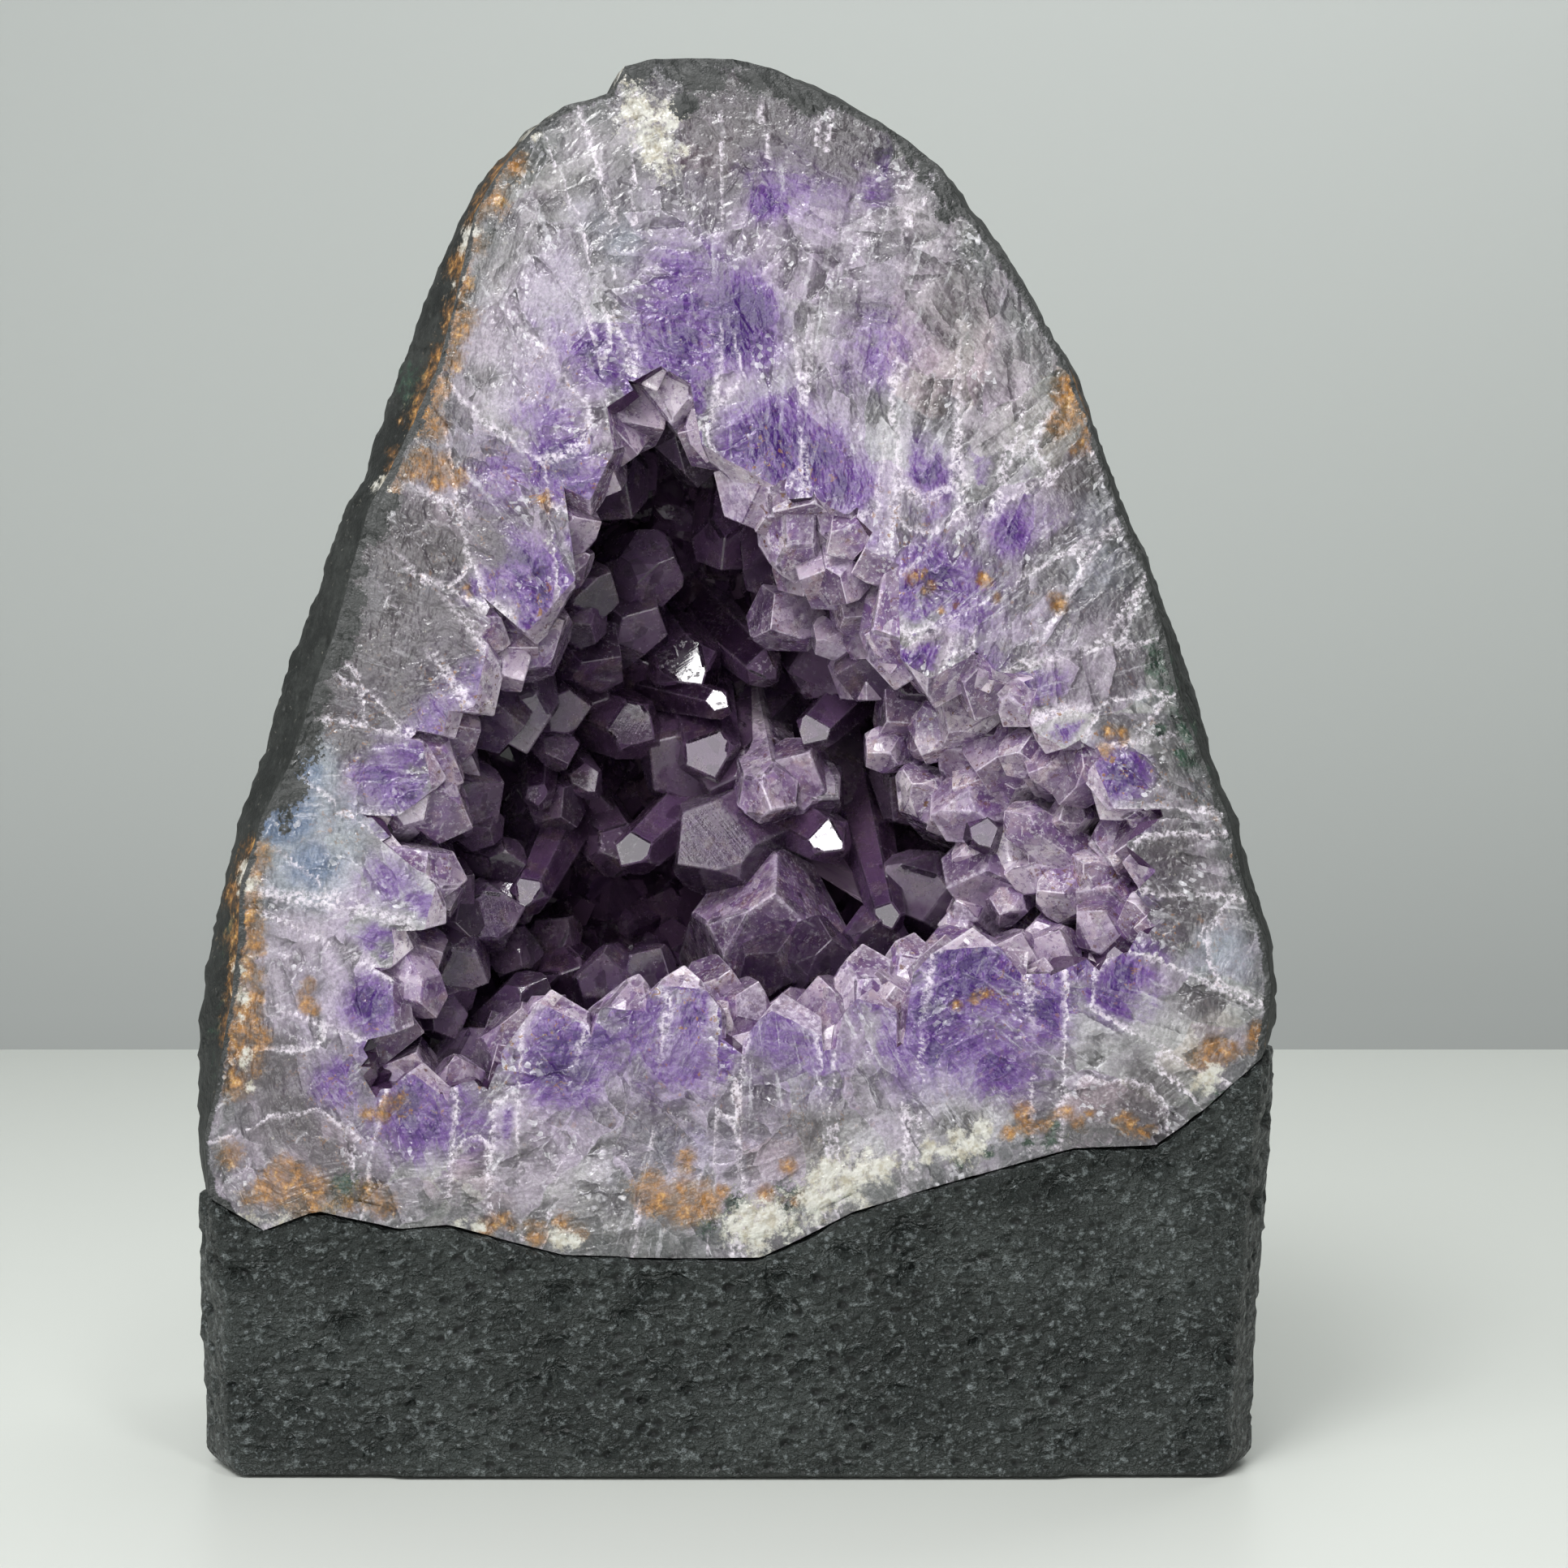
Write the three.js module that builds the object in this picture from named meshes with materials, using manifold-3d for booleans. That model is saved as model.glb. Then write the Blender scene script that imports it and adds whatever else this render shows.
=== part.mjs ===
// An amethyst cathedral geode: half of a basalt-skinned geode, sawn flat across the front so that its quartz wall
// and crystal-lined hollow show, and set upright in a block of dark cement. Millimetres, +Z up, the sawn face
// looks towards -Y and lies in the plane y = 0 until the whole group is centred at the end.
import * as THREE from "three";
import { ConvexGeometry } from "three/addons/geometries/ConvexGeometry.js";
import { mergeVertices } from "three/addons/utils/BufferGeometryUtils.js";
import Module from "manifold-3d";

const wasm = await Module();
wasm.setup();

// Driving dimensions
const topZ = 200; // overall height
const joint = 0.3; // clearance between pieces that grew or were cast against each other
const rindSkin = 2.6; // thickness of the basalt rind over the quartz at the sides
const rindLip = 1; // what is left of it where the saw went through
const rindBack = 7; // and its thickness at the back
const edgeDepth = 9; // how far behind the sawn face the body is widest
const crestDepth = 2; // and how far at the very top
const viewer = new THREE.Vector3(6.2, -420, 97.2); // where the outline is seen from
const cementProud = 0.5; // how far the cement's front stands forward of the sawn face at its sides
const cementBow = 1.6; // and how much further at its middle
const liner = 2.6; // thickness of the crystals' common root layer
const pointRise = 6; // how far the points stand out of that layer at the mouth
const bowlPower = 2.5; // 2 would make the hollow's section an ellipse, more makes it boxier
const caveCentre = new THREE.Vector2(0, 96); // x, z of the line that the hollow closes round
const caveDepth = 56; // from the sawn face to the deepest root
const pyramidLean = THREE.MathUtils.degToRad(38.2); // quartz: angle from a prism face's normal to its cap face's

// The body's outline as the viewer sees it against the sawn face's plane: height, edge, and how much of that
// edge is turned back as a bevel
const leftEdge = [
  [0, -73.4, 3], [1.5, -75, 3.4], [5, -75.4, 3.6], [12, -75.6, 3.5], [25, -76, 3.5], [36, -76, 2],
  [48, -76.6, 1.6], [56, -76.9, 4], [69, -76.3, 5.5], [75, -74.6, 4.5], [83, -73.3, 3.5],
  [92, -71.4, 4.5], [101, -67.9, 5.5], [110, -65.5, 6], [119, -62.2, 6], [129, -58.7, 5],
  [136, -56.2, 4.5], [140, -53.4, 4], [149, -51, 6], [156, -48.8, 7], [163, -45.4, 5.5],
  [170, -43, 4.5], [178, -39.7, 3], [184, -34.8, 1.5], [189, -30.3, 1.2], [192.5, -25.5, 1],
  [194.4, -18.8, 1], [198, -17, 1], [199, -13, 1],
];
const rightEdge = [
  [0, 70.4, 3], [1.5, 72, 3.4], [12, 72.4, 3.5], [25, 73, 3], [36, 73.9, 3], [48, 74.8, 2.5],
  [57, 75.2, 2], [62, 77, 2], [69, 76, 1.5], [75, 75.2, 1.5], [81, 73.1, 2], [91, 70.6, 1.5],
  [101, 67.2, 2.5], [109, 65, 3], [113, 62.8, 3], [118, 62.2, 2.5], [124, 60.4, 2.5],
  [128, 58.4, 1.5], [137, 53.9, 1.2], [146, 50.9, 1.2], [154, 48.3, 1.2], [163, 43.2, 1.2],
  [171, 38.4, 1.2], [179, 32.3, 1.5], [185, 28.3, 1.2], [190, 20.9, 1.2], [194, 13.5, 2],
  [198, 5.5, 2.5], [199, 1, 2.5],
];
// Height, and how far back the body reaches there
const backProfile = [
  [0, 97], [1.5, 98.4], [30, 100], [60, 99], [90, 94], [120, 84], [150, 68], [172, 51], [188, 37], [199, 25],
];
// Where the geode meets the cement, from left to right: x, z
const cementLine = [
  [-90, 39.5], [-74, 38.6], [-67, 34.4], [-59.5, 37.2], [-48, 34.6], [-41, 35.2], [-25, 31], [-10, 30.5],
  [3, 30.6], [8, 33], [16, 37], [29, 41], [47, 46], [58.5, 46.4], [66, 52], [75, 60], [90, 62],
];
// Edge, on the sawn face, of the hollow that is left in the quartz wall for its crystals: x, z
const caveRoot = [
  [-44, 42], [-24, 47], [0, 50], [22, 52], [44, 55], [58, 62], [64, 76], [63, 92], [57, 106], [47, 118],
  [38, 131], [26, 145], [12, 157], [-6, 165], [-20, 160], [-31, 147], [-38, 132], [-44, 118], [-52, 103],
  [-57, 88], [-60, 70], [-57, 52],
];
// Edge of the opening that is left between the crystals' points: x, z
const caveMouth = [
  [-49, 56], [-35, 58], [-26, 64], [-8, 68], [6, 66], [24, 71], [36, 75], [50, 74], [54, 88], [46, 98],
  [35, 108], [23, 114], [18, 123], [5, 130], [-1, 142], [-9, 151], [-18, 146], [-23, 134], [-28, 120],
  [-36, 110], [-43, 98], [-42, 84], [-46, 70],
];
// Crystals that edge the opening, round it from the top: x, y, z of the point, then the axis's aim across the
// sawn face in degrees (0 is to the right, 90 up) and its lean towards the viewer, then half width and length
const edgeCrystals = [
  [-21.9, 3, 144.6, -45, -6, 7.2, 24],
  [-7.9, 10, 145.7, -90, -12, 6.5, 20],
  [-2.5, 1.5, 150.5, -72, -5, 6.7, 22],
  [4.3, 3, 137.4, -82, -6, 8, 28],
  [14.6, 4.5, 133.5, -95, -8, 6.5, 20],
  [1.5, 8, 134.5, -125, -15, 5, 16],
  [7.8, 10, 125.8, -88, -12, 4.6, 20],
  [16.9, 9, 127.6, -85, -12, 5.5, 20],
  [26, 2.5, 137.3, -90, 5, 4.2, 12],
  [27.2, 5, 131.9, -80, -5, 5, 16],
  [20.3, 7, 120.7, -150, -5, 5, 18],
  [22, 7, 110.4, -105, -5, 6.3, 26],
  [27.7, 5, 107.8, -93, -3, 6.6, 28],
  [36.3, 4, 109.9, -170, 0, 3.8, 14],
  [37.4, 6, 105.3, -125, -5, 3.5, 14],
  [43.1, 2, 101.3, -110, -4, 4.6, 14],
  [48.3, 2.5, 97.9, -175, -4, 5, 14],
  [51, 5, 92, -130, -5, 4.5, 14],
  [54, 4, 86, 180, -5, 4.5, 12],
  [49.4, 3, 71.1, 155, -4, 5.5, 16],
  [32.9, 3, 77.1, 88, -5, 8.6, 28],
  [43.1, 4, 72.8, 85, -5, 3.8, 18],
  [17.5, 8, 74.5, 92, -8, 4.2, 24],
  [25, 10, 76, 80, -10, 3.2, 24],
  [6, 3.5, 67.7, 90, -6, 5.6, 20],
  [18.6, 2, 68.5, 85, -4, 4.2, 18],
  [-14.4, 5, 70.4, 80, -6, 5.6, 24],
  [-7.9, 3, 71.7, 85, -5, 6, 24],
  [-26.7, 3, 68.3, 92, -5, 6.4, 24],
  [-44.7, 2.5, 58, 80, -5, 6.4, 16],
  [-31.6, 1.5, 54, 92, -4, 3.6, 12],
  [-46, 3, 63, -25, -5, 5, 14],
  [-46, 3, 74, -10, -5, 4, 12],
  [-41.5, 3, 77.4, -35, -5, 4.6, 18],
  [-38.7, 6, 83.6, -5, -8, 4.3, 18],
  [-41.3, 2.5, 98, -5, -5, 6, 16],
  [-40.2, 2.5, 103.5, -50, -4, 5, 16],
  [-34.8, 4, 106.8, -45, -6, 6, 20],
  [-32.4, 4, 117, -20, -6, 4, 14],
  [-28.8, 3.5, 116.8, -80, -6, 6.8, 28],
  [-21.2, 4.5, 134.8, -75, -6, 6.3, 22],
];
// Crystals further in, in the same columns
const innerCrystals = [
  [4.9, 16, 81.3, 80, 65, 10.6, 40],
  [-9.5, 20, 85.4, -155, 50, 7.6, 34],
  [-14, 27, 103.4, 160, 60, 7, 30],
  [-5, 26, 96.2, -130, 60, 5.4, 28],
  [-8.1, 33, 112.7, -30, 55, 9.6, 26],
  [17.5, 24, 111.2, -70, 55, 8, 32],
  [3.4, 17, 87.3, -95, 25, 4.3, 20],
  [10, 22, 101.9, 60, 60, 5.2, 32],
  [14.5, 24, 95, -20, 55, 4.6, 30],
  [-31.3, 16, 101.5, -75, 30, 5.6, 24],
  [-37.5, 12, 97.9, -30, 20, 5.8, 18],
  [-31.4, 15, 79.3, 15, 30, 4.8, 24],
  [-36.5, 13, 68.3, -35, 25, 4.8, 18],
  [-34.2, 13, 61.8, 45, 15, 5.2, 16],
  [-27.5, 30, 95, 20, 55, 4.2, 22],
  [-22.3, 34, 96.2, 60, 60, 4.2, 22],
  [-17.6, 26, 83.6, -85, 35, 3.8, 26],
  [28.4, 14, 102.7, 170, 35, 5.2, 26],
  [27.3, 13, 92.7, -170, 30, 5, 26],
  [29.7, 14, 82, -160, 35, 6, 28],
  [47.5, 10, 81.6, 170, 25, 5, 16],
  [40.6, 11, 97.9, -160, 35, 5.5, 20],
  [49.7, 9, 88.6, 180, 20, 4.5, 14],
  [-6.5, 22, 141, -80, 20, 5.5, 18],
  [-16, 18, 136, -60, 20, 6, 18],
  [-3.2, 26, 129, -100, 35, 5, 20],
  [5.5, 20, 124, -90, 35, 5, 22],
  [-22.4, 24, 124.4, -20, 30, 5, 18],
  [18.6, 16, 123, -100, 20, 5, 20],
  [-26.4, 30, 77.1, 60, 45, 4.2, 20],
  [21, 22, 85, 150, 40, 5.5, 28],
  [-12, 24, 66, 80, 45, 5.5, 20],
  [8, 24, 68, 100, 45, 5.5, 22],
];

// Shape helpers

// The value at `at` of a table of [position, value, ...] rows, straight between its rows
function tableValue(rows, at, column = 1) {
  const last = rows.length - 1;
  if (at <= rows[0][0]) return rows[0][column];
  if (at >= rows[last][0]) return rows[last][column];
  const next = rows.findIndex((row) => row[0] > at);
  const [low, high] = [rows[next - 1], rows[next]];
  return THREE.MathUtils.mapLinear(at, low[0], high[0], low[column], high[column]);
}

// A repeatable source of numbers from 0 to 1
function seededRandom(seed) {
  let state = seed;
  return () => {
    state = (state * 1664525 + 1013904223) % 4294967296;
    return state / 4294967296;
  };
}

// A superellipse's two coordinates at an angle: rounder than a box and fuller than a circle
function superCurve(angle, power) {
  const bend = (value) => Math.sign(value) * Math.abs(value) ** (2 / power);
  return [bend(Math.cos(angle)), bend(Math.sin(angle))];
}

// The distance from a centre to a closed outline, as a function of the direction
function radiusRound(outline, centre) {
  const turn = 2 * Math.PI;
  const rows = outline
    .map(([x, z]) => [x - centre.x, z - centre.y])
    .map(([x, z]) => [(Math.atan2(z, x) + turn) % turn, Math.hypot(x, z)])
    .sort((a, b) => a[0] - b[0]);
  const [first, last] = [rows[0], rows[rows.length - 1]];
  const table = [[last[0] - turn, last[1]], ...rows, [first[0] + turn, first[1]]];
  return (angle) => tableValue(table, ((angle % turn) + turn) % turn);
}

// manifold-3d helpers

function solidFromGeometry(geometry) {
  const bare = geometry.index ? geometry.toNonIndexed() : geometry.clone();
  for (const name of Object.keys(bare.attributes)) {
    if (name !== "position") bare.deleteAttribute(name);
  }
  const merged = mergeVertices(bare, 1e-4);
  const mesh = new wasm.Mesh({
    numProp: 3,
    vertProperties: new Float32Array(merged.attributes.position.array),
    triVerts: new Uint32Array(merged.index.array),
  });
  return new wasm.Manifold(mesh);
}

function geometryFromSolid(solid) {
  const mesh = solid.getMesh();
  const geometry = new THREE.BufferGeometry();
  geometry.setAttribute("position", new THREE.BufferAttribute(new Float32Array(mesh.vertProperties), 3));
  geometry.setIndex(new THREE.BufferAttribute(new Uint32Array(mesh.triVerts), 1));
  const faceted = geometry.toNonIndexed();
  faceted.computeVertexNormals();
  return faceted;
}

// A closed solid through rings of equal length, with a point at each end
function solidFromRings(rings, startPoint, endPoint) {
  const count = rings[0].length;
  const triangles = [];
  const add = (a, b, c) => triangles.push(a, b, c);
  for (let i = 0; i < count; i++) {
    const j = (i + 1) % count;
    add(startPoint, rings[0][j], rings[0][i]);
    add(endPoint, rings[rings.length - 1][i], rings[rings.length - 1][j]);
    for (let k = 0; k + 1 < rings.length; k++) {
      add(rings[k][i], rings[k][j], rings[k + 1][j]);
      add(rings[k][i], rings[k + 1][j], rings[k + 1][i]);
    }
  }
  const made = solidFromGeometry(new THREE.BufferGeometry().setFromPoints(triangles));
  if (made.volume() > 0) return made;
  const turned = [];
  for (let i = 0; i < triangles.length; i += 3) turned.push(triangles[i], triangles[i + 2], triangles[i + 1]);
  return solidFromGeometry(new THREE.BufferGeometry().setFromPoints(turned));
}

function boxSolid(low, high) {
  const size = high.clone().sub(low);
  const middle = low.clone().add(high).multiplyScalar(0.5);
  const box = new THREE.BoxGeometry(size.x, size.y, size.z).translate(middle.x, middle.y, middle.z);
  return solidFromGeometry(box);
}

// The body: a loft of D-shaped slices, one for each height in the left edge's table

// Shallow lumps on the back, which fade out towards the outline
function lump(angle, z) {
  const waves = Math.sin(4 * angle + z / 14) + Math.sin(7 * angle - z / 19 + 1) + Math.sin(2 * angle + z / 8 + 2);
  return Math.sin(angle) * (waves - 3) * 0.6;
}

// How far behind the sawn face the body is widest at a height
function widestDepth(z) {
  return THREE.MathUtils.mapLinear(Math.max(z, topZ - 20), topZ, topZ - 20, crestDepth, edgeDepth);
}

// The true place across, or up, of what the viewer sees in the sawn face's plane but lies behind it
function behindPlane(seen, eye, depth) {
  return eye + (seen - eye) * (1 - depth / viewer.y);
}

// One slice, in from the outline by a skin, by a lip at the sawn edge, and by a wall's thickness at the back
function bodySlice(z, drop, { skin, lip, back }, backSteps) {
  const frontSteps = 5;
  const widest = widestDepth(z);
  const left = behindPlane(tableValue(leftEdge, z), viewer.x, widest) + skin;
  const right = behindPlane(tableValue(rightEdge, z), viewer.x, widest) - skin;
  const sideZ = (z > viewer.z ? behindPlane(z, viewer.z, widest) : z) - drop;
  const frontLeft = tableValue(leftEdge, z) + tableValue(leftEdge, z, 2) + lip;
  const frontRight = tableValue(rightEdge, z) - tableValue(rightEdge, z, 2) - lip;
  const slice = [];
  for (let i = 0; i <= frontSteps; i++) {
    const across = i / frontSteps;
    const y = -cementProud - cementBow * (1 - (2 * across - 1) ** 2);
    slice.push(new THREE.Vector3(THREE.MathUtils.lerp(frontLeft, frontRight, across), y, z - drop));
  }
  const middle = (left + right) / 2;
  const half = (right - left) / 2;
  const deep = tableValue(backProfile, z) - widest - back;
  for (let i = 0; i <= backSteps; i++) {
    const angle = (Math.PI * i) / backSteps;
    const [aside, behind] = superCurve(angle, bowlPower);
    const push = lump(angle, z);
    slice.push(new THREE.Vector3(middle + (half + push) * aside, widest + (deep + push) * behind, sideZ));
  }
  return slice;
}

function outerBody() {
  const whole = { skin: 0, lip: 0, back: 0 };
  const rings = leftEdge.map(([z]) => bodySlice(z, 0, whole, 15));
  return solidFromRings(rings, new THREE.Vector3(0, 40, 0), new THREE.Vector3(-6, 5, topZ));
}

// The quartz's outside: the body without its rind, from every second slice
function quartzBody(gap) {
  const inside = { skin: rindSkin + gap, lip: rindLip + gap, back: rindBack + gap };
  const drop = rindSkin + gap;
  const levels = leftEdge.map(([z]) => z).filter((z, i) => z > 20 && i % 2);
  const rings = levels.map((z) => bodySlice(z, drop, inside, 12));
  const low = new THREE.Vector3(0, 40, levels[0] - drop);
  const high = new THREE.Vector3(-6, 5, levels[levels.length - 1] - drop + 1);
  return solidFromRings(rings, low, high).intersect(aboveCement(rindSkin + gap));
}

// A bowl that opens through the sawn face and closes at the back. Its radius depends on the direction in the face
// and on how far back the point is, from 0 in the sawn face to 1 on the bowl's axis.
function bowlPoint(radiusAt, depth, angle, back) {
  const [scale, deep] = superCurve(back * (Math.PI / 2), bowlPower);
  const reach = radiusAt(angle, back) * scale;
  const x = caveCentre.x + reach * Math.cos(angle);
  const z = caveCentre.y + reach * Math.sin(angle);
  return new THREE.Vector3(x, depth * deep, z);
}

function bowl(radiusAt, depth) {
  const mouthY = -12;
  const steps = 24;
  const layers = 6;
  const angles = Array.from({ length: steps }, (_, i) => (2 * Math.PI * i) / steps);
  const rings = [angles.map((angle) => bowlPoint(radiusAt, depth, angle, 0).setY(mouthY))];
  for (let k = 0; k < layers; k++) {
    const back = (k / layers) ** 1.3;
    rings.push(angles.map((angle) => bowlPoint(radiusAt, depth, angle, back)));
  }
  const mouth = new THREE.Vector3(caveCentre.x, mouthY, caveCentre.y);
  const pole = new THREE.Vector3(caveCentre.x, depth, caveCentre.y);
  return solidFromRings(rings, mouth, pole);
}

// Everything above the cement line, as one tall prism through the whole depth
function aboveCement(lift) {
  const shape = new THREE.Shape();
  const points = cementLine.map(([x, z]) => new THREE.Vector2(x, z + lift));
  shape.setFromPoints([...points, new THREE.Vector2(90, topZ + 20), new THREE.Vector2(-90, topZ + 20)]);
  const depth = 160;
  const prism = new THREE.ExtrudeGeometry(shape, { depth, bevelEnabled: false });
  prism.rotateX(Math.PI / 2).translate(0, depth - 20, 0);
  return solidFromGeometry(prism);
}

// Crystals

// A quartz crystal with its point at the origin and its axis along +Z: six prism faces that draw in a little
// towards the point, and six cap faces, of which every second one is smaller. It is the space inside its planes.
function crystalGeometry(half, length, random) {
  const planes = [[new THREE.Vector3(0, 0, -1), length]];
  const taper = 0.06;
  for (let i = 0; i < 6; i++) {
    const angle = (i * Math.PI) / 3;
    const out = new THREE.Vector3(Math.cos(angle), Math.sin(angle), 0);
    const side = out.clone().setZ(taper).normalize();
    const cap = out.clone().multiplyScalar(Math.cos(pyramidLean)).setZ(Math.sin(pyramidLean));
    const smaller = i % 2 ? half * (0.1 + 0.35 * random()) : 0;
    planes.push([side, half * (0.86 + 0.22 * random()) - taper * half]);
    planes.push([cap, smaller]);
  }
  const corners = [];
  const holds = (point) => planes.every(([normal, reach]) => normal.dot(point) <= reach + 1e-6);
  for (let a = 0; a < planes.length; a++) {
    for (let b = a + 1; b < planes.length; b++) {
      for (let c = b + 1; c < planes.length; c++) {
        const point = planesMeet(planes[a], planes[b], planes[c]);
        if (!point || !holds(point)) continue;
        if (corners.every((other) => other.distanceTo(point) > 0.05)) corners.push(point);
      }
    }
  }
  return new ConvexGeometry(corners);
}

function planesMeet([n1, d1], [n2, d2], [n3, d3]) {
  const across = n2.clone().cross(n3);
  const share = n1.dot(across);
  if (Math.abs(share) < 1e-6) return null;
  return across
    .multiplyScalar(d1)
    .addScaledVector(n3.clone().cross(n1), d2)
    .addScaledVector(n1.clone().cross(n2), d3)
    .divideScalar(share);
}

// One row of the crystal lists as a solid
function crystal([x, y, z, aim, lean, half, length], random) {
  const geometry = crystalGeometry(half, length, random);
  const [across, out] = [THREE.MathUtils.degToRad(aim), THREE.MathUtils.degToRad(lean)];
  const flat = Math.cos(out);
  const along = new THREE.Vector3(Math.cos(across) * flat, -Math.sin(out), Math.sin(across) * flat);
  const up = new THREE.Vector3(0, 0, 1);
  const spin = new THREE.Quaternion().setFromAxisAngle(up, (random() * Math.PI) / 3);
  const turned = new THREE.Quaternion().setFromUnitVectors(up, along).multiply(spin);
  const place = new THREE.Matrix4().compose(new THREE.Vector3(x, y, z), turned, new THREE.Vector3(1, 1, 1));
  return solidFromGeometry(geometry.applyMatrix4(place));
}

// The pieces

// The crust's common layer lines the hollow thinly, and at the mouth it fills the room up to the crystals' points
function crystalCrust(behindFace) {
  const rootOutline = radiusRound(caveRoot, caveCentre);
  const mouthOutline = radiusRound(caveMouth, caveCentre);
  const rootRadius = (angle) => rootOutline(angle) - joint;
  const room = bowl(rootRadius, caveDepth - joint).intersect(behindFace);
  const freeRadius = (angle, back) => {
    const filled = rootRadius(angle) - mouthOutline(angle) - pointRise;
    return rootRadius(angle) - THREE.MathUtils.lerp(Math.max(liner, filled), liner, Math.min(1, back / 0.2));
  };
  const free = bowl(freeRadius, caveDepth - joint - liner);
  const random = seededRandom(5);
  const points = [...edgeCrystals, ...innerCrystals].map((row) => crystal(row, random));
  return room.subtract(free).add(wasm.Manifold.union(points)).intersect(room);
}

// A solid without the pockets that overlapping crystals close off, and without loose crumbs
function largestPart(solid) {
  return solid.decompose().sort((a, b) => b.volume() - a.volume())[0];
}

const body = outerBody();
const behindFace = boxSolid(new THREE.Vector3(-topZ, 0, -topZ), new THREE.Vector3(topZ, topZ, 2 * topZ));
const geode = body.intersect(aboveCement(0)).intersect(behindFace);
const hollow = bowl(radiusRound(caveRoot, caveCentre), caveDepth);

const solids = {
  cement_base: body.subtract(aboveCement(-joint)),
  basalt_rind: geode.subtract(quartzBody(0)),
  quartz_wall: quartzBody(joint).intersect(behindFace).subtract(hollow),
  amethyst_crust: largestPart(crystalCrust(behindFace)),
};

const finishes = {
  cement_base: { color: 0x3d4241, roughness: 0.6 },
  basalt_rind: { color: 0x4a504b, roughness: 0.7 },
  quartz_wall: { color: 0xc9c6cf, roughness: 0.2 },
  amethyst_crust: { color: 0x6d5490, roughness: 0.12 },
};

const geodeGroup = new THREE.Group();
for (const [name, solid] of Object.entries(solids)) {
  const material = new THREE.MeshStandardMaterial({ ...finishes[name], metalness: 0 });
  const mesh = new THREE.Mesh(geometryFromSolid(solid), material);
  mesh.name = name;
  geodeGroup.add(mesh);
}

// The frame's origin is the middle of the footprint's box, on the surface that the base stands on
const reach = new THREE.Box3().setFromObject(geodeGroup);
const middle = reach.getCenter(new THREE.Vector3());
geodeGroup.position.set(-middle.x, -middle.y, -reach.min.z);
geodeGroup.updateMatrixWorld(true);

export default geodeGroup;
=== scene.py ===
import math
import random

import bmesh
import bpy
import numpy as np
from mathutils import Matrix, Quaternion, Vector, noise
from mathutils.bvhtree import BVHTree


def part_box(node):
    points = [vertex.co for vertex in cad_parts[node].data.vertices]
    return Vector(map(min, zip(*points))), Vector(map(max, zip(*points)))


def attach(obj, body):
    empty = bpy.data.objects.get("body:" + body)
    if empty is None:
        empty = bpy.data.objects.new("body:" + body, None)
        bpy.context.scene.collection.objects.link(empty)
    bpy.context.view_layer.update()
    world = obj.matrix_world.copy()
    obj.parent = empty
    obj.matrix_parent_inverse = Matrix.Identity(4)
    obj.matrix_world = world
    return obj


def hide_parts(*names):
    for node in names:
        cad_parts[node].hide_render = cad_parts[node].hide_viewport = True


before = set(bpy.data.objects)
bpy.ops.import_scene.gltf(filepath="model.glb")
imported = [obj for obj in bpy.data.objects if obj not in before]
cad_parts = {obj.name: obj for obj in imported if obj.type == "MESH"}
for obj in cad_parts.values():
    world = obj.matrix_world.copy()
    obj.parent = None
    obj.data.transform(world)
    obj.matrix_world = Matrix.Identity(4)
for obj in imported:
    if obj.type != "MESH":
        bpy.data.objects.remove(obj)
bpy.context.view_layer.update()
mm = 0.001

# Places are given as x, y and z in millimetres: x from the middle of the sawn face, y back from it, z up
geode = {
    "leftReach": 78.69,  # from x = 0 to the geode's widest point on its left
    "heartHeight": 96,  # height of the line that the hollow closes round
    "around": 600,  # steps round the sawn face
    "relief": 0.3,  # how uneven the sawn face is
    "seed": 7,
}
studio = {
    "eye": (6.2, -420, 97.2),  # the camera
    "window": (-303, -750, 850),  # the middle of the largest light
    "frameWidth": 220.4,  # what the picture spans at the sawn face
    "tableEnd": 0.63,  # how far behind the geode's middle the table ends, in metres
    "tableColour": (0.69, 0.715, 0.675),
    "wallColour": (0.50, 0.525, 0.51),
    "sky": 0.16,
}
rindLow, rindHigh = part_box("basalt_rind")
midX = rindLow.x + geode["leftReach"] * mm
faceY = rindLow.y


def place(x, y, z):
    return Vector((midX + x * mm, faceY + y * mm, z * mm))


heart = place(0, 0.3, geode["heartHeight"])
angles = np.linspace(0, 2 * math.pi, geode["around"], endpoint=False)

# Where the points of the crystals leave the hollow open, x and z
openingEdge = [
    (-49, 56), (-35, 58), (-26, 64), (-8, 68), (6, 66), (24, 71), (36, 75), (50, 74), (54, 88), (46, 98),
    (35, 108), (23, 114), (18, 123), (5, 130), (-1, 142), (-9, 151), (-18, 146), (-23, 134), (-28, 120),
    (-36, 110), (-43, 98), (-42, 84), (-46, 70),
]
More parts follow.
